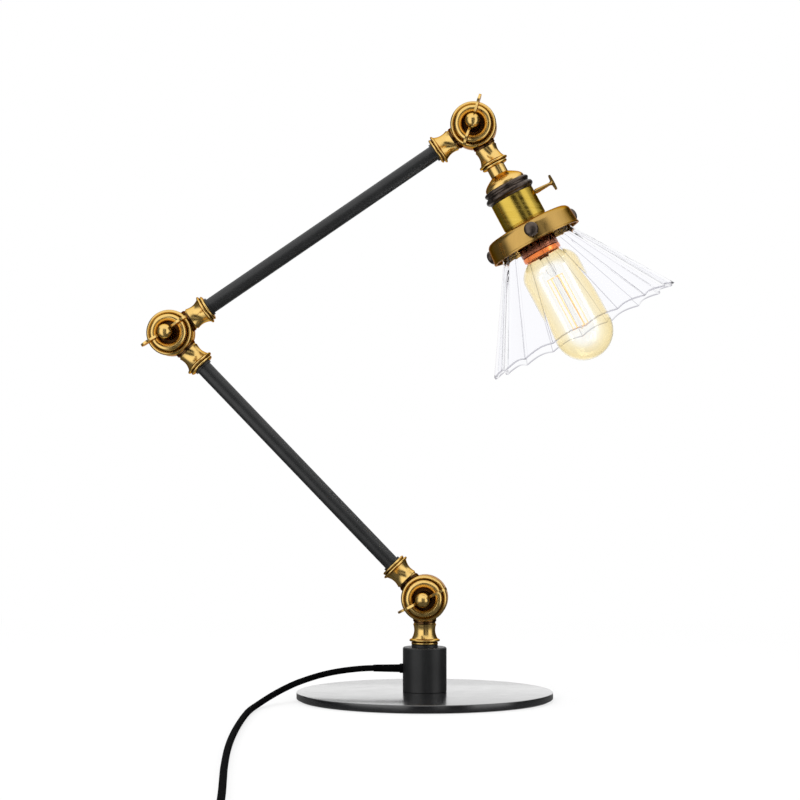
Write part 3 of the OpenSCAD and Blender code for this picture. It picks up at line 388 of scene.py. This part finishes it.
zinc = surface("zinc_steel", (0.5, 0.5, 0.48), metallic=1.0, roughness=0.35)
zinc_bloom = grain(zinc, 300, Detail=5.0)
spread_over(zinc, zinc_bloom, "Roughness", 0.28, 0.5)
spread_over(zinc, zinc_bloom, "Base Color", (0.4, 0.41, 0.4), (0.6, 0.59, 0.54))
dress(["base_nut", "column_rod", "lower_nipples", "upper_nipples", "head_nipple"], zinc)

# ---------------------------------------------------------------- column and arm tubes
# Steel tube in fine-textured black powder coat, with black washers where the brass necks meet it.
powder = surface("black_satin_enamel", (0.009, 0.0095, 0.01), roughness=0.4, Specular_IOR_Level=0.5)
powder_grain = grain(powder, 1500, Detail=3.0)
powder_cloud = grain(powder, 70, Detail=4.0)
spread_over(powder, powder_grain, "Roughness", 0.34, 0.46)
spread_over(powder, powder_cloud, "Base Color", (0.007, 0.0075, 0.008), (0.012, 0.0125, 0.013))
relief(powder, powder_grain, 0.00001)
dress(["column", "column_washer", "lower_tube", "upper_tube", "lower_end_washers", "upper_end_washers"], powder)

# ---------------------------------------------------------------- knuckles, wing screws and socket cap
# Cast and turned brass, darkened all over and then buffed: gold where a wheel reaches, dark brown patina in the seats,
# grooves and roots. Round each hinge the drums are also painted darker in rings, at the recess round the screw, beside
# the raised ring and at the neck's root: patina and painted shade together, where those hollows fall in shadow.
GOLD = (0.8, 0.54, 0.18)
UMBER = (0.09, 0.045, 0.018)
CLOUD_SHARE = 0.25


def antique(name, gold, hollow):
    """Brass whose colour goes from umber, in hollows narrower than the given metres, to gold on open faces."""
    made = surface(name, gold, metallic=1.0, roughness=0.26, Specular_Tint=(0.5, 0.27, 0.1, 1))
    tree = made.node_tree
    cavity = tree.nodes.new("ShaderNodeAmbientOcclusion")
    cavity.samples = 8
    cavity.only_local = True
    cavity.inputs["Distance"].default_value = hollow
    cloud = grain(made, 90, Detail=4.0, Roughness=0.5)
    mix = tree.nodes.new("ShaderNodeMath")
    mix.operation = "MULTIPLY_ADD"
    mix.inputs[1].default_value = CLOUD_SHARE
    tree.links.new(cloud, mix.inputs[0])
    tree.links.new(cavity.outputs["AO"], mix.inputs[2])
    spread_over(made, mix.outputs[0], "Base Color", UMBER, gold, 0.6, 1.05)
    lines = grain(made, 300, stretch=(1, 1, 0.15), Detail=3.0)
    spread_over(made, lines, "Roughness", 0.18, 0.3)
    relief(made, lines, 0.00001, 0.15)
    return made


# Distance from the hinge's axis in millimetres, and the share of gold there: the recess round the screw, the raised
# ring, the groove beside it, the rim, the dark root of the neck, and the neck. The dark rings are patina and painted
# shade together, put where shade falls in the recess, the groove and the neck's root.
PATINA_AND_SHADE_RINGS = [(8.2, 0.0), (8.7, 0.9), (9.2, 1.0), (13.2, 1.0), (13.8, 0.7), (14.5, 1.0), (17.3, 0.85), (17.5, 0.0),
        (19.2, 0.0), (19.8, 1.0)]
PATINA_AND_SHADE_SPAN = 0.03


def stepped(ramp, steps):
    """Gives a colour ramp its greys: each step is a position and a level."""
    for place, level in steps[1:-1]:
        ramp.color_ramp.elements.new(place)
    for element, (place, level) in zip(ramp.color_ramp.elements, steps):
        element.position = place
        element.color = (level, level, level, 1)


def patina_and_shade_round_hinges(made):
    """Mixes umber into the colour by a ramp of the distance, seen along the hinges, to the nearest hinge's axis: patina
    and painted shade in rings at the recesses round each hinge.
    """
    tree = made.node_tree
    place = tree.nodes.new("ShaderNodeTexCoord")
    flat = tree.nodes.new("ShaderNodeVectorMath")
    flat.operation = "MULTIPLY"
    flat.inputs[1].default_value = (1, 0, 1)
    tree.links.new(place.outputs["Object"], flat.inputs[0])
    least = None
    for hinge in ("lower_hinge", "middle_hinge", "upper_hinge"):
        away = tree.nodes.new("ShaderNodeVectorMath")
        away.operation = "DISTANCE"
        away.inputs[1].default_value = joint_at[hinge] * [1, 0, 1]
        tree.links.new(flat.outputs[0], away.inputs[0])
        if least:
            nearer = tree.nodes.new("ShaderNodeMath")
            nearer.operation = "MINIMUM"
            tree.links.new(least, nearer.inputs[0])
            tree.links.new(away.outputs["Value"], nearer.inputs[1])
        least = nearer.outputs[0] if least else away.outputs["Value"]
    scaled = tree.nodes.new("ShaderNodeMath")
    scaled.operation = "DIVIDE"
    scaled.inputs[1].default_value = PATINA_AND_SHADE_SPAN
    ramp = tree.nodes.new("ShaderNodeValToRGB")
    stepped(ramp, [(distance / 1000 / PATINA_AND_SHADE_SPAN, share) for distance, share in PATINA_AND_SHADE_RINGS])
    patina_and_shade_mix = tree.nodes.new("ShaderNodeMix")
    patina_and_shade_mix.data_type = "RGBA"
    patina_and_shade_mix.inputs["A"].default_value = (*UMBER, 1)
    base = tree.nodes["Principled BSDF"].inputs["Base Color"]
    tree.links.new(least, scaled.inputs[0])
    tree.links.new(scaled.outputs[0], ramp.inputs["Fac"])
    tree.links.new(ramp.outputs["Color"], patina_and_shade_mix.inputs["Factor"])
    tree.links.new(base.links[0].from_socket, patina_and_shade_mix.inputs["B"])
    tree.links.new(patina_and_shade_mix.outputs["Result"], base)


knuckle_brass = antique("knuckle_brass", GOLD, hollow=0.0008)
# Painted shade and patina in rings round each hinge.
patina_and_shade_round_hinges(knuckle_brass)
dress([f"knuckle{i}_{side}" for i in (1, 2, 3) for side in ("front", "rear")], knuckle_brass)

brass = antique("antique_brass", GOLD, hollow=0.002)
dress(["knuckle1_nut", "knuckle2_nut", "knuckle3_nut", "wing_screw1", "wing_screw2", "wing_screw3", "socket_cap"],
      brass)

brown_brass = antique("brown_brass", (0.5, 0.31, 0.09), hollow=0.002)
dress(["switch_key", "shade_holder"], brown_brass)

fibre = surface("fibre_washer", (0.05, 0.032, 0.02), roughness=0.8)
spread_over(fibre, grain(fibre, 900, Detail=4.0), "Base Color", (0.03, 0.02, 0.013), (0.08, 0.05, 0.03))
dress(["knuckle1_washer", "knuckle2_washer", "knuckle3_washer"], fibre)

# ---------------------------------------------------------------- socket
# A spun brass shell, brushed round and lacquered, on a dark bronze clamping ring; inside are a glazed porcelain
# body, the thin threaded shell and the centre contact.
bronze = surface("dark_bronze", (0.09, 0.07, 0.06), metallic=1.0, roughness=0.36)
bronze_cloud = grain(bronze, 260, Detail=5.0)
spread_over(bronze, bronze_cloud, "Base Color", (0.055, 0.042, 0.038), (0.15, 0.12, 0.1))
spread_over(bronze, bronze_cloud, "Roughness", 0.28, 0.46)
dress(["socket_ring", "holder_ring", "shade_screw1", "shade_screw2", "shade_screw3"], bronze)

polished = surface("polished_brass", (0.6, 0.42, 0.07), metallic=1.0, roughness=0.24,
                   Specular_Tint=(0.5, 0.33, 0.1, 1))
brushing = grain(polished, 700, stretch=(0.06, 0.06, 1), turn=(0, math.radians(28), 0), Detail=6.0)
spread_over(polished, brushing, "Roughness", 0.16, 0.3)
spread_over(polished, brushing, "Base Color", (0.54, 0.37, 0.055), (0.66, 0.47, 0.085))
dress(["socket_shell", "centre_contact", "screw_shell"], polished)

porcelain = surface("porcelain", (0.75, 0.72, 0.65), roughness=0.2, Coat_Weight=0.5)
spread_over(porcelain, grain(porcelain, 200, Detail=3.0), "Base Color", (0.68, 0.65, 0.58), (0.8, 0.78, 0.72))
dress(["socket_insulator"], porcelain)

# ---------------------------------------------------------------- shade
# Pressed clear glass: a collar with a lip, and a cone of eighteen flutes that deepen towards the scalloped rim. The
# ridges between the flutes and the rim's outer edge are painted with fine grey lines, a painted reflection of the dark
# surroundings that clear glass shows there.
HEAD = joint_at["upper_hinge"]
DOWN = joint_axis["bulb_turn"]
SIDE = joint_axis["switch_turn"]
GLASS_THICKNESS = 0.0024
FLUTES = 18
FLUTE_COLUMNS = 26
RIDGE_ROUND = 0.15
PAINTED_LINE_WIDTH = 0.0003
RIM_PAINTED_LINE_WIDTH = 0.0006
FLUTE_DEPTH = 0.004
SCALLOP = 0.0018
FLUTE_GROWTH = 0.8
COLLAR_RADIUS = 0.0286
COLLAR_BELOW_HOLDER = 0.001
SHOULDER = 0.0015
LIP_RADIUS = 0.0312
LIP_HEIGHT = 0.0024
LIP_ROUND = 0.0006
BEAD_HEIGHT = 0.0006


def from_head(mesh):
    """Where the vertices of a mesh are, from the upper knuckle."""
    points = np.empty(len(mesh.vertices) * 3)
    mesh.vertices.foreach_get("co", points)
    return points.reshape(-1, 3) - HEAD


def reach(name):
    """How far along the head's axis a node starts and ends, from the upper knuckle, and its largest radius."""
    points = from_head(nodes[name].data)
    s = points @ DOWN
    return s.min(), s.max(), np.linalg.norm(points - s[:, None] * DOWN, axis=1).max()


def tag(mesh, name, values):
    """Stores one number for each vertex under a name."""
    mesh.attributes.new(name, "FLOAT", "POINT").data.foreach_set("value", values.astype(np.float32))


def tagged(made, name):
    """The output that gives a material the numbers stored under a name."""
    stored = made.node_tree.nodes.new("ShaderNodeAttribute")
    stored.attribute_name = name
    return stored.outputs["Fac"]


def hollow_of(x):
    """The flute's form, 1 - x^2 where x goes from -1 to 1 across it, but eased to a round at each ridge."""
    least = math.sqrt(1 + RIDGE_ROUND**2) - RIDGE_ROUND
    return (np.sqrt((1 - x * x) ** 2 + RIDGE_ROUND**2) - RIDGE_ROUND) / least


def shade_mesh():
    """Rows run down the outside and up the inside. A cone row's radius is the cone's less the flute's depth times the
    flute's form, and the rim rises by the scallop times that form. The attribute edge is a bell curve of the distance
    from a ridge line or from the outer edge of the rim: it marks where grey lines are painted on the glass, a painted
    reflection of the dark surroundings."""
    lip_top, rim, rim_radius = reach("shade")
    collar_end = reach("shade_holder")[1] + COLLAR_BELOW_HOLDER
    cone_from = collar_end + SHOULDER
    root = COLLAR_RADIUS + SHOULDER
    slope = (rim_radius - root) / (rim - cone_from)
    wall = GLASS_THICKNESS * math.sqrt(1 + slope * slope)
    inner = COLLAR_RADIUS - GLASS_THICKNESS
    u = np.concatenate([np.linspace(0, 0.985, 38), [0.993, 1.0]])
    s = cone_from + (rim - cone_from) * u
    r = root + (rim_radius - root) * u
    flute = u**FLUTE_GROWTH
    bead = np.linspace(0, math.pi, 9)[1:-1]
    bead_r = rim_radius - wall / 2 + wall / 2 * np.cos(bead)
    bead_s = rim + BEAD_HEIGHT * np.sin(bead)
    ones = np.ones_like(bead)
    lip_end = lip_top + LIP_HEIGHT
    start = [[lip_top, inner, 0, 0], [lip_top, LIP_RADIUS - LIP_ROUND, 0, 0], [lip_top + LIP_ROUND, LIP_RADIUS, 0, 0],
             [lip_end - 0.0004, LIP_RADIUS, 0, 0], [lip_end, LIP_RADIUS - LIP_ROUND, 0, 0],
             [lip_end, COLLAR_RADIUS, 0, 0], [collar_end - 0.001, COLLAR_RADIUS, 0, 0]]
    rows = np.vstack([start, np.stack([s, r, flute, u], 1), np.stack([bead_s, bead_r, ones, ones], 1),
                      np.stack([s, r - wall, flute, u], 1)[::-1], [[collar_end + 0.0005, inner, 0, 0]]])
    x = np.tile(np.sin(np.linspace(-0.5, 0.5, FLUTE_COLUMNS, endpoint=False) * math.pi), FLUTES)
    a = (np.repeat(np.arange(FLUTES), FLUTE_COLUMNS) + (x + 1) / 2) * 2 * math.pi / FLUTES
    radius = rows[:, 1:2] - FLUTE_DEPTH * rows[:, 2:3] * hollow_of(x)
    along = rows[:, 0:1] - SCALLOP * rows[:, 3:4] * hollow_of(x)
    ring = -np.cos(a)[:, None] * np.array([0, 1.0, 0]) + np.sin(a)[:, None] * -SIDE
    points = HEAD + along[..., None] * DOWN + radius[..., None] * ring
    mesh = grid_mesh("shade_glass", points, loop_rows=True, sharp=math.radians(50))
    spot = from_head(mesh)
    s, turn = spot @ DOWN, np.arctan2(spot @ -SIDE, -spot[:, 1])
    far = np.linalg.norm(spot - s[:, None] * DOWN, axis=1)
    x = np.abs((turn * FLUTES / (2 * math.pi) % 1) * 2 - 1)
    ridge = (1 - x) * far * math.pi / FLUTES
    t = np.clip((s - cone_from) / (rim - cone_from), 0, 1)
    outer = far > root + (rim_radius - root) * t - FLUTE_DEPTH * t**FLUTE_GROWTH * hollow_of(x) - wall * 0.4
    # Grey lines are painted along each ridge and the rim's outer edge, as painted reflections in the glass.
    lines = np.exp(-((ridge / PAINTED_LINE_WIDTH) ** 2)) * (s > cone_from)
    lines = np.maximum(lines, np.exp(-(((s - rim + SCALLOP * hollow_of(x)) / RIM_PAINTED_LINE_WIDTH) ** 2)))
    tag(mesh, "edge", np.where(outer, lines, 0))
    return mesh


clear = surface("clear_glass", (0.985, 0.985, 1.0), roughness=0.0, Transmission_Weight=1.0, IOR=1.08)
# The glass is painted grey along those lines: painted reflections.
spread_over(clear, tagged(clear, "edge"), "Base Color", (0.985, 0.985, 1.0), (0.3, 0.29, 0.34), 0.05, 0.9)
relief(clear, grain(clear, 45, Detail=1.0), 0.0002, 0.25)
seat("shade_glass", shade_mesh(), clear, "head", "clear_glass", "shade")

# ---------------------------------------------------------------- bulb
# A tubular bulb of thin amber glass on a screw cap: the threads of the cap are a rolled helix, and inside the glass a
# stem carries the cage of filament wire, which is given a faint painted glow. The cap above a rolled groove in its
# collar is painted dark brown, painted shade where it reaches up under the shade holder.
BULB_START, CAP_END, CAP_COLLAR = reach("bulb_cap")
BULB_TIP, BULB_RADIUS = reach("bulb_glass")[1:]
CAP_RADIUS = CAP_COLLAR - 0.0016
CAP_SIDES = 128
BULB_WALL = 0.0007
NECK_LENGTH = 0.014
NECK_IN_CAP = 0.006
THREAD_PITCH = 0.0036
THREAD_DEPTH = 0.00075
THREAD_FADE = 0.0015
COLLAR_HEIGHT = 0.0125
COLLAR_BEVEL = 0.0006
GROOVE_UP = 0.0038
GROOVE_HALF = 0.0004
GROOVE_DEPTH = 0.0006


def bulb_outline(inset):
    """The neck swells to the full radius as 1 - (1 - u)^2.2, runs straight, and ends in a half sphere."""
    neck = CAP_RADIUS - 0.0006
    u = np.linspace(0, 1, 24)
    flare = np.stack([neck + (BULB_RADIUS - neck) * (1 - (1 - u) ** 2.2) - inset, CAP_END + NECK_LENGTH * u], 1)
    t = np.linspace(0, math.pi / 2, 28)
    middle = BULB_TIP - BULB_RADIUS
    end = np.stack([(BULB_RADIUS - inset) * np.cos(t), middle + (BULB_RADIUS - inset) * np.sin(t)], 1)
    return np.vstack([[[neck - inset, CAP_END - NECK_IN_CAP]], flare, end])


amber = surface("amber_glass", (1.0, 0.98, 0.88), roughness=0.0, Transmission_Weight=1.0, IOR=1.45)
relief(amber, grain(amber, 60, Detail=1.0), 0.0001, 0.2)
# The glass's tint follows how squarely it faces the view: nearly clear in the middle, a painted highlight, and amber
# towards the sides, the bulb's own tint.
facing = amber.node_tree.nodes.new("ShaderNodeLayerWeight")
facing.inputs["Blend"].default_value = 0.5
spread_over(amber, facing.outputs["Facing"], "Base Color", (1.0, 1.0, 0.975), (0.985, 0.9, 0.66), 0.05, 0.22)
bulb_wall = np.vstack([bulb_outline(0), bulb_outline(BULB_WALL)[::-1]])
seat("bulb_envelope", turned("bulb_envelope", bulb_wall, HEAD, DOWN, loop=True), amber, "bulb", "amber_glass",
     "bulb_glass")


def cap_mesh():
    """The sleeve's radius follows a rounded wave of its height less its turn, so the crests run in a helix; the wave
    fades out at the collar below and at the insulating cone above. A rolled groove parts the collar in two; a stored
    number goes from 0 on the part by the glass to 1 on the part by the socket, which is painted dark brown as shade
    under the shade holder."""
    collar_from = CAP_END - COLLAR_HEIGHT
    groove = CAP_END - GROOVE_UP
    bore = CAP_RADIUS - 0.0005
    s = np.linspace(BULB_START + 0.0048, collar_from - 0.0004, 96)
    a = np.arange(CAP_SIDES) * 2 * math.pi / CAP_SIDES
    phase = s[:, None] / THREAD_PITCH * 2 * math.pi - a
    fade = np.clip(np.minimum(s - s[0], s[-1] - s) / THREAD_FADE, 0, 1)[:, None]
    sleeve = CAP_RADIUS - THREAD_DEPTH * fade * (1 + np.cos(phase)) / 2
    cone = np.array([[0, BULB_START], [0.0035, BULB_START], [0.0045, BULB_START + 0.001],
                     [0.009, BULB_START + 0.003], [CAP_RADIUS - 0.001, BULB_START + 0.004]])
    collar = np.array([[CAP_COLLAR - 0.0003, collar_from], [CAP_COLLAR, collar_from + COLLAR_BEVEL],
                       [CAP_COLLAR, groove - GROOVE_HALF], [CAP_COLLAR - GROOVE_DEPTH, groove],
                       [CAP_COLLAR, groove + GROOVE_HALF], [CAP_COLLAR, CAP_END - COLLAR_BEVEL],
                       [CAP_COLLAR - COLLAR_BEVEL, CAP_END], [bore, CAP_END], [bore, CAP_END - 0.02],
                       [0, CAP_END - 0.02]])
    radii = np.vstack([np.repeat(cone[:, :1], CAP_SIDES, 1), sleeve, np.repeat(collar[:, :1], CAP_SIDES, 1)])
    along = np.concatenate([cone[:, 1], s, collar[:, 1]])
    ring = np.cos(a)[:, None] * np.array([0, 1.0, 0]) + np.sin(a)[:, None] * SIDE
    mesh = grid_mesh("screw_cap", HEAD + along[:, None, None] * DOWN + radii[..., None] * ring)
    # Marks the cap from the groove to the socket end, which is painted dark brown: painted shade under the holder.
    tag(mesh, "cap_shade_mask", CAP_END - from_head(mesh) @ DOWN > GROOVE_UP - GROOVE_HALF / 2)
    return mesh


# Dark brown painted on the cap where it reaches under the shade holder: painted shade.
CAP_SHADE_BROWN = (0.3, 0.11, 0.06)
copper = surface("copper_cap", (0.8, 0.2, 0.05), metallic=1.0, roughness=0.3)
copper_bloom = grain(copper, 300, Detail=4.0)
copper_tone = spread_over(copper, copper_bloom, "Base Color", (0.78, 0.18, 0.045), (0.9, 0.27, 0.07))
tree = copper.node_tree
cap_shaded = tree.nodes.new("ShaderNodeMix")
cap_shaded.data_type = "RGBA"
cap_shaded.inputs["B"].default_value = (*CAP_SHADE_BROWN, 1)
tree.links.new(tagged(copper, "cap_shade_mask"), cap_shaded.inputs["Factor"])
tree.links.new(copper_tone, cap_shaded.inputs["A"])
tree.links.new(cap_shaded.outputs["Result"], tree.nodes["Principled BSDF"].inputs["Base Color"])
spread_over(copper, copper_bloom, "Roughness", 0.2, 0.38)
seat("screw_cap", cap_mesh(), copper, "bulb", "copper_cap", "bulb_cap")

stem_glass = surface("mount_glass", (0.985, 0.985, 0.97), roughness=0.02, Transmission_Weight=1.0, IOR=1.12)
relief(stem_glass, grain(stem_glass, 300, Detail=2.0), 0.0002, 0.4)
dress(["bulb_mount"], stem_glass, edge=50)

# The filament wire glows faintly orange of itself, a painted glow, though the bulb is not lit.
wire = surface("filament", (0.95, 0.62, 0.3), metallic=1.0, roughness=0.4, Emission_Color=(1.0, 0.6, 0.25, 1),
               Emission_Strength=0.55)
spread_over(wire, grain(wire, 2000, Detail=2.0), "Base Color", (0.85, 0.48, 0.2), (1.0, 0.7, 0.36))
dress(["bulb_filament"], wire)

# ---------------------------------------------------------------- floor, light and background
# A pale table top that runs out of sight, white to the camera, which keeps a soft shadow round the plate. In metal it
# shows dark close by, and farther out it gives way to the walls. The world is a studio of bright and dark walls under
# a pale ceiling, which only metal and gloss see: the camera and clear glass see plain white, matt surfaces pale grey.
FLOOR_POOL = 0.12
FLOOR_REFLECTED = (0.15, 0.4)
SHADOW_SHARE = 0.28
SHADOW_REACH = (0.25, 0.9)
FLOOR_SIZE = 60
FLOOR_GAP = 0.0003


def floor_surface():
    """Emission where it is seen, with a share of plain diffuse that fades out from the lamp; for glossy rays a dark
    pool that turns transparent with distance; plain diffuse for every other ray."""
    made = bpy.data.materials.new("floor")
    made.use_nodes = True
    tree = made.node_tree
    tree.nodes.clear()

    def mixed(factor, first, second):
        mix = tree.nodes.new("ShaderNodeMixShader")
        for source, socket in zip((factor, first.outputs[0], second.outputs[0]), mix.inputs):
            tree.links.new(source, socket)
        return mix

    def ranged(value, span, to):
        node = tree.nodes.new("ShaderNodeMapRange")
        for name, number in zip(("From Min", "From Max", "To Min", "To Max"), (*span, *to)):
            node.inputs[name].default_value = number
        tree.links.new(value, node.inputs["Value"])
        return node.outputs[0]

    rays = tree.nodes.new("ShaderNodeLightPath")
    place = tree.nodes.new("ShaderNodeTexCoord")
    length = tree.nodes.new("ShaderNodeVectorMath")
    length.operation = "LENGTH"
    tree.links.new(place.outputs["Object"], length.inputs[0])
    seen = tree.nodes.new("ShaderNodeMath")
    seen.operation = "MAXIMUM"
    tree.links.new(rays.outputs["Is Camera Ray"], seen.inputs[0])
    tree.links.new(rays.outputs["Transmission Depth"], seen.inputs[1])
    seen.use_clamp = True
    matt = tree.nodes.new("ShaderNodeBsdfDiffuse")
    matt.inputs["Color"].default_value = (0.9, 0.9, 0.9, 1)
    white = tree.nodes.new("ShaderNodeEmission")
    pool = tree.nodes.new("ShaderNodeEmission")
    pool.inputs["Strength"].default_value = FLOOR_POOL
    through = tree.nodes.new("ShaderNodeBsdfTransparent")
    shadowed = mixed(ranged(length.outputs["Value"], SHADOW_REACH, (1 - SHADOW_SHARE, 1)), matt, white)
    mirrored = mixed(ranged(length.outputs["Value"], FLOOR_REFLECTED, (0, 1)), pool, through)
    other = mixed(rays.outputs["Is Glossy Ray"], matt, mirrored)
    out = tree.nodes.new("ShaderNodeOutputMaterial")
    tree.links.new(mixed(seen.outputs[0], other, shadowed).outputs[0], out.inputs["Surface"])
    return made


bpy.ops.mesh.primitive_plane_add(size=FLOOR_SIZE, location=(0, 0, -FLOOR_GAP))
floor = bpy.context.active_object
floor.name = "floor"
floor.data.materials.append(floor_surface())

# Bearings in turns, clockwise from the camera seen from above, and how bright the wall is there in reflections.
WALLS = [(0.0, 0.04), (0.03, 0.04), (0.037, 0.5), (0.06, 0.5), (0.068, 0.03), (0.11, 0.03), (0.135, 1.3), (0.22, 1.3),
         (0.25, 0.06), (0.43, 0.05), (0.47, 1.0), (0.54, 1.0), (0.58, 0.13), (0.78, 0.13), (0.83, 1.3), (0.96, 1.3),
         (0.975, 0.04)]
WALL_FILL = 0.75
CEILING = 1.2
CEILING_FROM = (0.5, 0.62)

world = bpy.data.worlds.new("studio")
bpy.context.scene.world = world
world.use_nodes = True
sky = world.node_tree
sky.nodes.clear()
direction = sky.nodes.new("ShaderNodeTexCoord")
split_up = sky.nodes.new("ShaderNodeSeparateXYZ")
bearing = sky.nodes.new("ShaderNodeMath")
bearing.operation = "ARCTAN2"
flip = sky.nodes.new("ShaderNodeMath")
flip.operation = "MULTIPLY"
flip.inputs[1].default_value = -1
turns = sky.nodes.new("ShaderNodeMath")
turns.operation = "MULTIPLY_ADD"
turns.inputs[1].default_value = 1 / (2 * math.pi)
turns.inputs[2].default_value = 1.0
whole = sky.nodes.new("ShaderNodeMath")
whole.operation = "FRACT"
walls = sky.nodes.new("ShaderNodeValToRGB")
stepped(walls, WALLS)
above = sky.nodes.new("ShaderNodeMapRange")
above.inputs["From Min"].default_value, above.inputs["From Max"].default_value = CEILING_FROM
roofed = sky.nodes.new("ShaderNodeMix")
roofed.data_type = "RGBA"
roofed.inputs["B"].default_value = (CEILING, CEILING, CEILING, 1)
sky.links.new(direction.outputs["Generated"], split_up.inputs[0])
sky.links.new(split_up.outputs["Y"], flip.inputs[0])
sky.links.new(split_up.outputs["X"], bearing.inputs[0])
sky.links.new(flip.outputs[0], bearing.inputs[1])
sky.links.new(bearing.outputs[0], turns.inputs[0])
sky.links.new(turns.outputs[0], whole.inputs[0])
sky.links.new(whole.outputs[0], walls.inputs["Fac"])
sky.links.new(split_up.outputs["Z"], above.inputs["Value"])
sky.links.new(above.outputs[0], roofed.inputs["Factor"])
sky.links.new(walls.outputs["Color"], roofed.inputs["A"])
rays = sky.nodes.new("ShaderNodeLightPath")
glossy = sky.nodes.new("ShaderNodeMix")
glossy.data_type = "RGBA"
glossy.inputs["A"].default_value = (WALL_FILL, WALL_FILL, WALL_FILL, 1)
clean = sky.nodes.new("ShaderNodeMix")
clean.data_type = "RGBA"
clean.inputs["B"].default_value = (1, 1, 1, 1)
seen = sky.nodes.new("ShaderNodeMath")
seen.operation = "MAXIMUM"
seen.use_clamp = True
plain = sky.nodes.new("ShaderNodeBackground")
out = sky.nodes.new("ShaderNodeOutputWorld")
sky.links.new(rays.outputs["Is Glossy Ray"], glossy.inputs["Factor"])
sky.links.new(roofed.outputs["Result"], glossy.inputs["B"])
sky.links.new(rays.outputs["Is Camera Ray"], seen.inputs[0])
sky.links.new(rays.outputs["Transmission Depth"], seen.inputs[1])
sky.links.new(seen.outputs[0], clean.inputs["Factor"])
sky.links.new(glossy.outputs["Result"], clean.inputs["A"])
sky.links.new(clean.outputs["Result"], plain.inputs["Color"])
sky.links.new(plain.outputs[0], out.inputs["Surface"])

# Name, where it stands, its width and height, and its power in watts.
LAMPS = [("left_window", (-1.1, -1.3, 0.9), 0.9, 1.2, 11), ("right_window", (1.5, -1.1, 0.8), 0.5, 1.2, 7),
         ("overhead", (-0.1, 0.1, 1.9), 1.4, 1.4, 12)]
LIT_POINT = Vector((-0.05, 0, 0.25))
for name, place, width, height, watts in LAMPS:
    lamp = bpy.data.lights.new(name, "AREA")
    lamp.shape = "RECTANGLE"
    lamp.size, lamp.size_y, lamp.energy = width, height, watts
    stand = bpy.data.objects.new(name, lamp)
    stand.location = place
    stand.visible_glossy = False
    stand.rotation_euler = (LIT_POINT - Vector(place)).to_track_quat("-Z", "Y").to_euler()
    bpy.context.scene.collection.objects.link(stand)

bpy.context.scene.view_settings.view_transform = "Standard"
